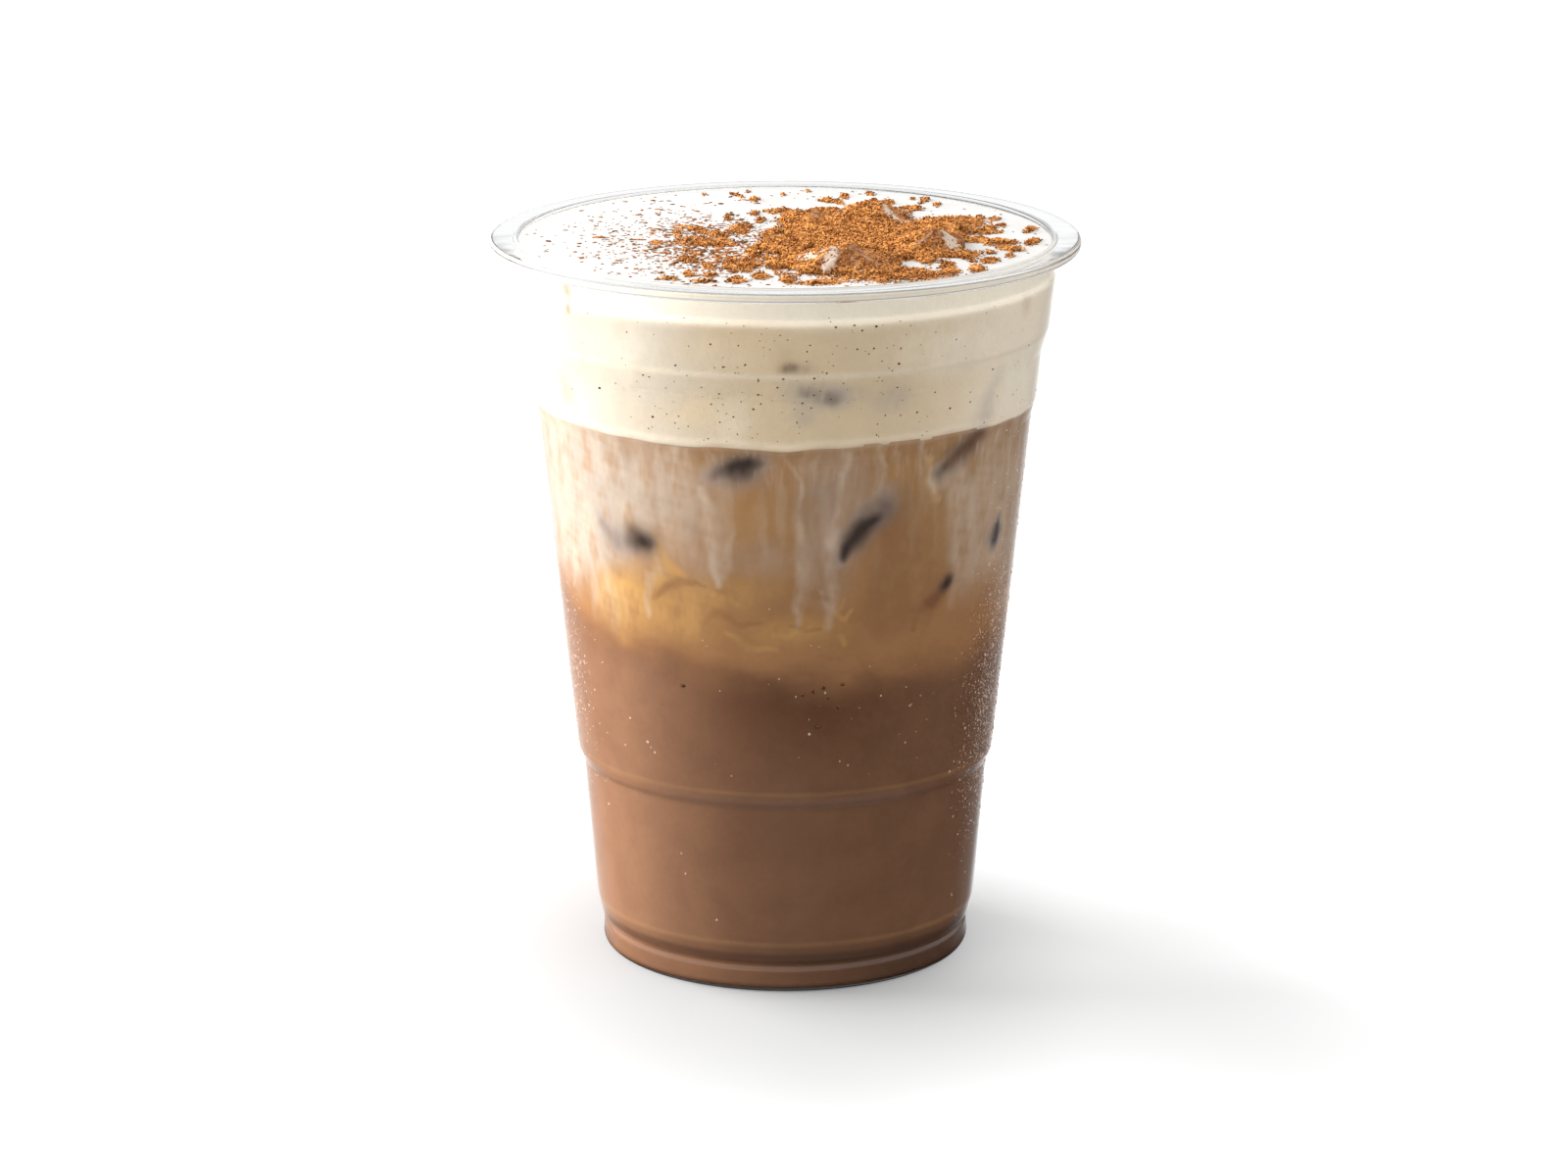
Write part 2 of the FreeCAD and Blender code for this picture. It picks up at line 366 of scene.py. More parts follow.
class MottleGroup:
    """Shared node group: a painted colour made livelier by slow clouds and fine grain."""

    NAME = "mottle"

    @classmethod
    def apply(cls, graph: Graph, tone: Socket, clouds: float, grain: float) -> Socket:
        """Darken a colour by shares of the slow clouds and of the fine grain."""
        inputs = {"Color": tone, "Clouds": clouds, "Grain": grain}
        return graph.node("Group", inputs, node_tree=cls.tree()).outputs["Color"]

    @classmethod
    def tree(cls) -> bpy.types.NodeTree:
        """The group, built once.

        Returns:
            The node group.
        """
        if cls.NAME in bpy.data.node_groups:
            return bpy.data.node_groups[cls.NAME]
        tree = bpy.data.node_groups.new(cls.NAME, "ShaderNodeTree")
        for name, way, kind in (("Color", "INPUT", "Color"), ("Clouds", "INPUT", "Float"),
                                ("Grain", "INPUT", "Float"), ("Color", "OUTPUT", "Color")):
            tree.interface.new_socket(name=name, in_out=way, socket_type="NodeSocket" + kind)
        graph = Graph(tree)
        source = graph.node("NodeGroupInput").outputs
        place = graph.place()
        slow = graph.remap(graph.noise(place, 8.0 * MM, warp=0.5), 0.3, 0.7)
        fine = graph.remap(graph.noise(place, 0.9 * MM, 2.0, 0.6), 0.3, 0.7)
        dark = graph.math("ADD", graph.math("MULTIPLY", slow, source["Clouds"]),
                          graph.math("MULTIPLY", fine, source["Grain"]))
        light = graph.math("SUBTRACT", 1.0, dark)
        shade = graph.node("CombineColor", dict.fromkeys(("Red", "Green", "Blue"), light)).outputs["Color"]
        graph.node("NodeGroupOutput", {"Color": graph.mix(1.0, source["Color"], shade, "MULTIPLY")})
        return tree


# --- Finishes ---
@dataclass(frozen=True)
class Finish:
    """A named material with one Principled shader."""

    name: str = "finish"

    LETS_LIGHT_IN = False

    def inputs(self, graph: Graph) -> Inputs:
        """What the shader's inputs are fed, on nodes added to the graph."""
        raise NotImplementedError

    def build(self) -> bpy.types.Material:
        """Make the material.

        Returns:
            The material.
        """
        material, graph, shader = Graph.surface(self.name)
        graph.feed(shader, self.inputs(graph))
        if self.LETS_LIGHT_IN:
            graph.let_light_in(shader)
        return material


@dataclass(frozen=True)
class ClearPlastic(Finish):
    """Thin clear thermoformed plastic, very slightly wavy."""

    name: str = "clear_plastic"
    roughness: float = 0.03

    LETS_LIGHT_IN = True

    def inputs(self, graph: Graph) -> Inputs:
        """Faint smears and slow waves."""
        smears = graph.noise(graph.place((1.0, 1.0, 0.4)), 8.0 * MM, 4.0)
        waves = graph.noise(graph.place((1.0, 1.0, 0.5)), 7.0 * MM, 1.0)
        tone = graph.mix(graph.remap(smears, 0.3, 0.7), (0.985, 0.99, 0.995), (0.97, 0.98, 0.99))
        return {"Base Color": tone, "IOR": 1.5, "Transmission Weight": 1.0,
                "Normal": graph.bump(waves, 0.05 * MM),
                "Roughness": graph.remap(smears, 0.35, 0.8, self.roughness, self.roughness + 0.05)}


@dataclass(frozen=True)
class Water(Finish):
    """Clear water of the beads on the outside of the cup."""

    name: str = "condensed_water"

    LETS_LIGHT_IN = True

    def inputs(self, graph: Graph) -> Inputs:
        """Beads that scatter a little of the light behind them."""
        haze = graph.noise(graph.place(), 2.0 * MM)
        return {"Base Color": graph.mix(haze, (0.86, 0.70, 0.61), (0.74, 0.60, 0.53)), "IOR": 1.33,
                "Transmission Weight": 0.68, "Roughness": graph.remap(haze, 0.3, 0.8, 0.0, 0.06)}


@dataclass(frozen=True)
class ClearIce(Finish):
    """Clear ice, cloudy in the middle."""

    name: str = "clear_ice"

    def inputs(self, graph: Graph) -> Inputs:
        """Slow clouds in colour and roughness."""
        clouds = graph.noise(graph.place(), 6.0 * MM)
        return {"Base Color": graph.mix(graph.remap(clouds, 0.4, 0.7), (0.82, 0.88, 0.9), (0.93, 0.95, 0.96)),
                "IOR": 1.31, "Transmission Weight": 0.9,
                "Roughness": graph.remap(clouds, 0.3, 0.7, 0.05, 0.25)}


@dataclass(frozen=True)
class Liquid(Finish):
    """Milky coffee seen through the wall, in the colours painted on its skin."""

    name: str = "milky_coffee"
    streak: Color = (0.72, 0.58, 0.45)

    def inputs(self, graph: Graph) -> Inputs:
        """Painted colours with fine hanging threads."""
        threads = graph.noise(graph.place((1.0, 1.0, 0.07)), 0.9 * MM, 3.0, 0.65)
        amount = graph.math("MULTIPLY", graph.remap(threads, 0.50, 0.78, 0.0, 0.30),
                            graph.attribute("threads"))
        tone = graph.mix(amount, graph.attribute("tone", "Color"), self.streak)
        return {"Base Color": MottleGroup.apply(graph, tone, 0.11, 0.04), "Specular IOR Level": 0.1,
                "Roughness": graph.remap(threads, 0.3, 0.7, 0.4, 0.55)}


@dataclass(frozen=True)
class Foam(Finish):
    """Dense cream foam in painted colours, with fine bubbles."""

    name: str = "cream_foam"

    def inputs(self, graph: Graph) -> Inputs:
        """Painted colours, slow swells and small pits."""
        place = graph.place()
        swells = graph.noise(place, 3.0 * MM)
        pits = graph.bump(graph.remap(graph.cells(place, 0.8 * MM), 0.0, 0.45), 0.04 * MM, 0.4)
        return {"Base Color": MottleGroup.apply(graph, graph.attribute("tone", "Color"), 0.035, 0.03),
                "Specular IOR Level": 0.2, "Roughness": graph.remap(swells, 0.3, 0.7, 0.45, 0.6),
                "Normal": graph.bump(swells, 0.2 * MM, 0.5, pits)}


@dataclass(frozen=True)
class Cinnamon(Finish):
    """Ground cinnamon: grains dark in their gaps and bright on top, partly their own colour and partly
    painted shade and highlight; thin, darker dust on steep faces, and on the far faces as painted shade; bare
    foam in gaps.
    """

    name: str = "ground_cinnamon"
    grain: float = 0.34 * MM
    # bright is partly a painted highlight on the grains' tops, dark partly painted shade in their gaps
    bright: Color = (0.62, 0.270, 0.074)
    middle: Color = (0.30, 0.102, 0.018)
    dark: Color = (0.085, 0.024, 0.006)
    dust: Color = (0.37, 0.205, 0.125)
    foam: Color = (0.48, 0.40, 0.33)

    def inputs(self, graph: Graph) -> Inputs:
        """Grains in clumps, with the carried streaks, dust and bare foam over them."""
        place = graph.place()
        grains = graph.noise(place, self.grain, 2.0, 0.7)
        lit = graph.math("ADD", grains, graph.math("MULTIPLY", graph.noise(place, 2.4 * MM), 0.6))
        # dark where the bump is low and bright where it is high: partly painted shade and highlight
        tone = graph.mix(graph.remap(grains, 0.42, 0.54), self.dark, self.middle)
        tone = graph.mix(graph.remap(lit, 0.77, 0.89), tone, self.bright)
        thin = graph.mix(graph.remap(grains, 0.42, 0.7), self.dark, self.middle)
        thin = graph.mix(graph.attribute("streak"), thin, self.dust)
        for mask, layer in (("thin", thin), ("bare", self.foam)):
            tone = graph.mix(graph.attribute(mask), tone, layer)
        return {"Base Color": tone, "Specular IOR Level": 0.15, "Normal": graph.bump(grains, 0.10 * MM, 0.8),
                "Roughness": graph.remap(grains, 0.3, 0.7, 0.75, 0.95)}


# --- Making meshes ---
def as_mesh(name: str, bm: bmesh.types.BMesh) -> bpy.types.Mesh:
    """Turn a working mesh into a finished one.

    Args:
        name: the mesh's name.
        bm: the working mesh, which is freed.

    Returns:
        The mesh.
    """
    mesh = bpy.data.meshes.new(name)
    bm.to_mesh(mesh)
    bm.free()
    return mesh


def on_wall(azimuth: Array, height: Array, radius: Array) -> Array:
    """Places in mm from an azimuth in radians, a height and a radius in mm."""
    return np.stack([radius * np.sin(azimuth), -radius * np.cos(azimuth), height], axis=1)


def lathe(name: str, profile: Profile, steps: int,
          reshape: Callable[[Array], Array] | None = None) -> bpy.types.Mesh:
    """Turn a profile about the axis.

    Args:
        name: the mesh's name.
        profile: radius and height in mm of each point, both ends on the axis.
        steps: divisions of the turn.
        reshape: moves the turned points, in mm.

    Returns:
        The closed mesh, in metres, crisp where it turns sharply.
    """
    bm = bmesh.new()
    rows = len(profile) - 1
    bmesh.ops.create_grid(bm, x_segments=rows, y_segments=steps, size=1.0)
    grid = (np.array([v.co[:2] for v in bm.verts]) + 1.0) * 0.5 * (rows, steps)
    row, step = np.rint(grid).astype(int).T
    radius, height = np.array(profile).T
    places = on_wall(step * (2.0 * math.pi / steps), height[row], radius[row])
    if reshape is not None:
        places = reshape(places)
    for vert, place in zip(bm.verts, (places * MM).tolist()):
        vert.co = place
    bmesh.ops.remove_doubles(bm, verts=bm.verts, dist=1e-7)
    bmesh.ops.recalc_face_normals(bm, faces=bm.faces)
    mesh = as_mesh(name, bm)
    mesh.set_sharp_from_angle(angle=math.radians(50.0))
    return mesh


def points_of(mesh: bpy.types.Mesh) -> Array:
    """Places of a mesh's points, in mm."""
    flat = np.empty(3 * len(mesh.vertices))
    mesh.vertices.foreach_get("co", flat)
    return flat.reshape(-1, 3) / MM


def carry(mesh: bpy.types.Mesh, tone: Array, numbers: dict[str, Array]) -> None:
    """Let a mesh carry a colour called tone, and numbers, at its points.

    Args:
        mesh: the mesh.
        tone: red, green and blue at each point.
        numbers: values at each point, by name.
    """
    full = np.concatenate([tone, np.ones((len(tone), 1))], axis=1)
    for name, kind, key, values in [*((name, "FLOAT", "value", row) for name, row in numbers.items()),
                                    ("tone", "FLOAT_COLOR", "color", full)]:
        mesh.attributes.new(name, kind, "POINT").data.foreach_set(key, values.astype(np.float32).ravel())


def new_piece(mesh: bpy.types.Mesh, material: bpy.types.Material) -> bpy.types.Object:
    """Make a smooth piece that rides on the cup's body.

    Args:
        mesh: its mesh, which also names it.
        material: its material.

    Returns:
        The piece.
    """
    mesh.polygons.foreach_set("use_smooth", np.ones(len(mesh.polygons), dtype=bool))
    mesh.materials.append(material)
    piece = bpy.data.objects.new(mesh.name, mesh)
    bpy.context.scene.collection.objects.link(piece)
    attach(piece, BODY)
    LOG.info("%s: %d faces", mesh.name, len(mesh.polygons))
    return piece


def pebble() -> bmesh.types.BMesh:
    """A small ball of radius 1 to copy."""
    bm = bmesh.new()
    bmesh.ops.create_icosphere(bm, subdivisions=1, radius=1.0)
    return bm


def crumb() -> bmesh.types.BMesh:
    """A small eight-sided grain of radius 1 to copy."""
    bm = bmesh.new()
    bmesh.ops.create_uvsphere(bm, u_segments=4, v_segments=2, radius=1.0)
    return bm


def joined_copies(name: str, template: bmesh.types.BMesh, turns: Array, places: Array) -> bpy.types.Mesh:
    """Join many small copies of a mesh.

    Args:
        name: the joined mesh's name.
        template: the small mesh, in mm, which is freed.
        turns: a 3 by 3 matrix for each copy, which turns and sizes it.
        places: the place of each copy in mm.

    Returns:
        The joined mesh.
    """
    template.verts.index_update()
    points = np.array([v.co[:] for v in template.verts])
    faces = np.array([[v.index for v in f.verts] for f in template.faces])
    template.free()
    moved = (np.einsum("nij,vj->nvi", turns, points) + places[:, None, :]) * MM
    linked = faces[None, :, :] + (np.arange(len(places)) * len(points))[:, None, None]
    mesh = bpy.data.meshes.new(name)
    mesh.from_pydata(moved.reshape(-1, 3).tolist(), [], linked.reshape(-1, faces.shape[1]).tolist())
    return mesh


def stretched(sizes: Array, *entries: Array | float) -> Array:
    """Matrices of nine entries given row by row, with their columns stretched by three sizes."""
    return np.array(np.broadcast_arrays(*entries)).reshape(3, 3, -1).transpose(2, 0, 1) * sizes[:, None, :]


def turned_sizes(rng: np.random.Generator, sizes: Array) -> Array:
    """Matrices that stretch copies by three sizes along their axes and turn them any way.

    Args:
        rng: seeded random numbers.
        sizes: three sizes for each copy.

    Returns:
        A 3 by 3 matrix for each copy.
    """
    q = rng.normal(size=(len(sizes), 4))
    w, x, y, z = (q / np.linalg.norm(q, axis=1, keepdims=True)).T
    return stretched(sizes, 1 - 2 * (y * y + z * z), 2 * (x * y - z * w), 2 * (x * z + y * w),
                     2 * (x * y + z * w), 1 - 2 * (x * x + z * z), 2 * (y * z - x * w),
                     2 * (x * z - y * w), 2 * (y * z + x * w), 1 - 2 * (x * x + y * y))


def facing_out(azimuth: Array, sizes: Array) -> Array:
    """Matrices that stretch copies along the wall's outward, level and upright directions."""
    sin, cos = np.sin(azimuth), np.cos(azimuth)
    return stretched(sizes, sin, cos, 0.0, -cos, sin, 0.0, 0.0, 0.0, 1.0)


# --- Painting the drink's skin ---
class Tint(Enum):
    """Colours of the drink and the foam, as linear red, green and blue; some of them stand in for painted
    light and shade.
    """

    MOCHA = (0.204, 0.098, 0.053)
    # painted light: the mocha's left side, lit by the lamp
    LIT_MOCHA = (0.283, 0.142, 0.079)
    # painted shade on the mocha's right side; also used for the mocha darker towards the bottom
    DEEP = (0.182, 0.086, 0.045)
    UMBER = (0.120, 0.045, 0.018)
    TOFFEE = (0.368, 0.178, 0.075)
    COFFEE = (0.410, 0.226, 0.103)
    BROWN = (0.303, 0.143, 0.063)
    MILK = (0.530, 0.385, 0.275)
    PALE = (0.690, 0.540, 0.410)
    MIST = (0.530, 0.440, 0.360)
    HONEY = (0.620, 0.400, 0.200)
    CHALK = (0.960, 0.870, 0.715)
    VEIL = (0.430, 0.300, 0.215)
    GOLD = (0.560, 0.310, 0.105)
    AMBER = (0.440, 0.232, 0.088)
    RUST = (0.230, 0.098, 0.045)
    CREAM = (0.665, 0.575, 0.455)
    IVORY = (0.940, 0.800, 0.620)
    # painted shade: the foam's top greyer than its own white, against the strong light from above
    GREYED_TOP = (0.450, 0.444, 0.428)
    BUTTER = (0.750, 0.590, 0.385)
    DUSK = (0.420, 0.370, 0.345)
    SMEAR = (0.420, 0.250, 0.140)
    HALO = (0.155, 0.108, 0.086)
    SLATE = (0.120, 0.118, 0.135)
    # painted shade: the foot darker on its right side, and dark lines under the ledges
    FOOT_SHADE = (0.062, 0.029, 0.017)
    ICE = (0.045, 0.030, 0.024)


@dataclass(frozen=True)
class Stroke:
    """A soft line of another colour on the wall."""

    points: tuple[float, ...]     # azimuth in degrees, height and half width in mm of each point
    tint: Tint
    strength: float = 0.8
    softness: float = 0.75        # 0 crisp edges, 1 fades from its middle

    def mask(self, azimuth: Array, height: Array) -> tuple[Array, Array]:
        """Which places it touches, and how much of its colour shows at each of them.

        Args:
            azimuth: azimuth of the places in radians.
            height: their height in mm.

        Returns:
            Indices of the places it touches, and its mask from 0 to 1 at those.
        """
        turns, levels, widths = np.reshape(self.points, (-1, 3)).T
        spare = 3.0 * widths.max()
        along = np.radians(turns - turns[0]) * ROUND
        across = wrapped(azimuth - math.radians(turns[0])) * ROUND
        near = np.flatnonzero((across > along.min() - spare) & (across < along.max() + spare)
                              & (height > levels.min() - spare) & (height < levels.max() + spare))
        across, height = across[near], height[near]
        mask = np.zeros(len(near))
        for i in range(len(turns) - 1):
            run = np.array([along[i + 1] - along[i], levels[i + 1] - levels[i]])
            du, dz = across - along[i], height - levels[i]
            share = np.clip((du * run[0] + dz * run[1]) / max(float(run @ run), 1e-9), 0.0, 1.0)
            gap = np.hypot(du - share * run[0], dz - share * run[1])
            width = widths[i] + share * (widths[i + 1] - widths[i])
            mask = np.maximum(mask, smooth(gap / width, 1.1 + 0.7 * self.softness, 0.9 - 0.9 * self.softness))
        return near, mask * self.strength


@dataclass(frozen=True)
class Pool:
    """A soft oval patch of another colour on the wall: centre, half sizes in mm and turn."""

    azimuth: float
    height: float
    half_width: float
    half_height: float
    tint: Tint
    strength: float = 0.8
    turn: float = 0.0
    softness: float = 0.7

    def mask(self, azimuth: Array, height: Array) -> tuple[Array, Array]:
        """Which places it touches, and how much of its colour shows at each of them.

        Args:
            azimuth: azimuth of the places in radians.
            height: their height in mm.

        Returns:
            Indices of the places it touches, and its mask from 0 to 1 at those.
        """
        du = wrapped(azimuth - math.radians(self.azimuth)) * ROUND
        dz = height - self.height
        reach = 1.6 * max(self.half_width, self.half_height)
        near = np.flatnonzero((np.abs(du) < reach) & (np.abs(dz) < reach))
        ratio = oval(du[near], dz[near], self.half_width, self.half_height, self.turn)
        return near, self.strength * smooth(ratio, 1.0 + 0.5 * self.softness, 1.0 - self.softness)


class Canvas:
    """Colours at the points of a skin, painted one mark over another."""

    def __init__(self, places: Array, warp: float) -> None:
        """Start with nothing painted on places in mm, with marks pushed about by up to warp mm.

        Args:
            places: the skin's points in mm.
            warp: how far marks are pushed about, in mm.
        """
        azimuth, height = np.arctan2(places[:, 0], -places[:, 1]), places[:, 2]
        self.azimuth = azimuth + warp * wall_lumps(azimuth, height, 7.0, 11) / ROUND
        self.height = height + warp * wall_lumps(azimuth, height, 6.0, 12)
        self.breakup = np.clip(0.82 + 0.5 * wall_lumps(azimuth, 0.4 * height, 1.7, 13), 0.25, 1.0)
        self.tone = np.zeros_like(places)

    def cover(self, mask: Array | float, tint: Tint) -> None:
        """Lay a colour over the skin by a mask from 0 to 1."""
        self.tone += np.reshape(mask, (-1, 1)) * (np.array(tint.value) - self.tone)

    def mark(self, rows: Iterable[Row], broken: float = 1.0) -> None:
        """Paint marks in order, more or less broken up: rows of a stroke's or a pool's fields.

        Args:
            rows: the fields of each stroke or pool.
            broken: 0 for even marks, 1 for broken ones.
        """
        for row in rows:
            one = Stroke(*row) if isinstance(row[0], tuple) else Pool(*row)
            near, mask = one.mask(self.azimuth, self.height)
            mask = (mask * (1.0 - broken * (1.0 - self.breakup[near])))[:, None]
            self.tone[near] += mask * (np.array(one.tint.value) - self.tone[near])


# --- The cup ---
@dataclass
class Cup:
    """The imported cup's section turned smoothly, in clear plastic."""

    steps: int = 320
    finish: ClearPlastic = field(default_factory=ClearPlastic)

    def build(self) -> None:
        """Make the cup."""
        cup = new_piece(lathe("clear_cup", WALL.outline(), self.steps), self.finish.build())
        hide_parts("cup")


# --- Ice ---
@dataclass(frozen=True)
class IceCube:
    """One rounded ice cube that touches the wall with a corner.

    From the corner an edge runs off at heading, degrees up from level towards growing
    azimuth, and dips inwards. Lean is the angle between the wall and the face that lies
    on the hand's side of the edge: +1 is left of the heading.
    """

    azimuth: float
    height: float
    heading: float
    dip: float
    lean: float
    hand: float
    film: float                   # drink between the corner and the wall, in mm
    rounding: float

    SIZE = np.array([19.0, 18.0, 17.0])
    SLOPE = 0.104                 # how the wall flares

    def outward(self) -> Array:
        """The wall's outward direction at the corner."""
        az = math.radians(self.azimuth)
        return np.array([math.sin(az), -math.cos(az), -self.SLOPE]) / math.hypot(1.0, self.SLOPE)

    def axes(self) -> Array:
        """Rows: directions of the cube's edges from the touching corner into the cube."""
        az, turn, dip, lean = np.radians([self.azimuth, self.heading, self.dip, self.lean])
        out, level = self.outward(), np.array([math.cos(az), math.sin(az), 0.0])
        along = math.cos(turn) * level + math.sin(turn) * np.cross(out, level)
        edge = math.cos(dip) * along - math.sin(dip) * out
        side = self.hand * np.cross(out, edge)
        side /= np.linalg.norm(side)
        inward = np.cross(edge, side)
        inward *= -math.copysign(1.0, float(inward @ out))
        face = math.cos(lean) * side + math.sin(lean) * inward
        return np.array([edge, face, math.cos(lean) * inward - math.sin(lean) * side])

    def reach(self) -> Array:
        """Half sizes of the cube without its rounding."""
        return self.SIZE / 2.0 - self.rounding

    def centre(self) -> Array:
        """Centre of the cube in mm, low enough to stay under the foam's top."""
        radius = WALL.inner(np.array([self.height])) - self.film
        touch = on_wall(np.radians([self.azimuth]), np.array([self.height]), radius)[0]
        middle = touch - self.rounding * self.outward() + self.axes().T @ self.reach()
        top = middle[2] + np.abs(self.axes()[:, 2]) @ self.reach() + self.rounding
        middle[2] -= max(0.0, top - FOAM_LEVEL + 2.0)
        return middle

    def distance(self, places: Array) -> Array:
        """Distance of places in mm to the cube's surface, negative inside."""
        gap = np.abs((places - self.centre()) @ self.axes().T) - self.reach()
        return np.linalg.norm(np.maximum(gap, 0.0), axis=1) + np.minimum(gap.max(axis=1), 0.0) - self.rounding

    def add_to(self, bm: bmesh.types.BMesh) -> None:
        """Add the cube's rounded mesh, kept just inside the drink's skin.

        Args:
            bm: the working mesh to add to.
        """
        axes, centre = self.axes(), self.centre() - 0.15 * self.outward()
        for vert in bmesh.ops.create_icosphere(bm, subdivisions=3, radius=1.0)["verts"]:
            ball = np.array(vert.co[:])
            local = np.where(np.abs(ball) > 1e-4, np.sign(ball), 0.0) * self.reach() + self.rounding * ball
            vert.co = Vector((centre + axes.T @ local) * MM)


@dataclass
class Ice:
    """Ice cubes sunk in the drink, seen only where they come near the wall."""

    back_count: int = 13
    seed: int = 21
    fade: float = 0.62            # film in mm that hides most of the ice
    finish: ClearIce = field(default_factory=ClearIce)

    FRONT = (                     # the fields of each cube
        (-6.6, 92, 196, 15, 38, 1, 0, 2.2), (-36, 77.2, 150, 34, 44, 1, 0, 2),
        (-44.6, 76.4, 130, 20, 35, 1, 0.95, 1.4), (14.6, 76.1, 51, 9, 17, -1, 0, 1.2),
        (50.6, 94.8, 212, 11, 45, 1, 0.05, 1.2), (60.4, 74, 62, 16, 45, 1, 0.2, 1),
        (42.1, 69.5, 60, 36, 45, 1, 0.25, 1), (-53.6, 98.6, 122, 17, 45, 1, 0.55, 1.1),
        (2.3, 108.6, 20, 36, 45, 1, 1.9, 1), (3.6, 104.6, -4, 11, 30, -1, 1.9, 1.2),
        (22.3, 102.4, 60, 25, 35, 1, 1.3, 2.2), (49.3, 98.3, 60, 20, 45, 1, 0.8, 1.2),
    )

    def rest(self) -> tuple[IceCube, ...]:
        """Seeded cubes round the sides and the back of the cup.

        Returns:
            The cubes.
        """
        rng = np.random.default_rng(self.seed)
        cubes = []
        for i in range(self.back_count):
            azimuth = 85.0 + (190.0 * i + rng.uniform(-60, 60)) / self.back_count
            height, heading, dip, lean, rounding, film = (
                rng.uniform(*ends) for ends in ((68.0, 106.0), (0.0, 360.0), (12.0, 30.0), (25.0, 45.0),
                                                (1.1, 2.2), (0.0, 0.9)))
            cubes.append(IceCube(azimuth, height, heading, dip, lean, 1.0, film, rounding))
        return tuple(cubes)

    def shade(self, places: Array) -> Array:
        """How darkly the seeded ice shows at places on the wall, from 0 to 1."""
        film = np.min([cube.distance(places) for cube in self.rest()], axis=0)
        return np.exp(-np.maximum(film, 0.0) / self.fade)

    def build(self) -> None:
        """Make the cubes."""
        bm = bmesh.new()
        for cube in (*(IceCube(*row) for row in self.FRONT), *self.rest()):
            cube.add_to(bm)
        bmesh.ops.recalc_face_normals(bm, faces=bm.faces)
        new_piece(as_mesh("ice_cubes", bm), self.finish.build())


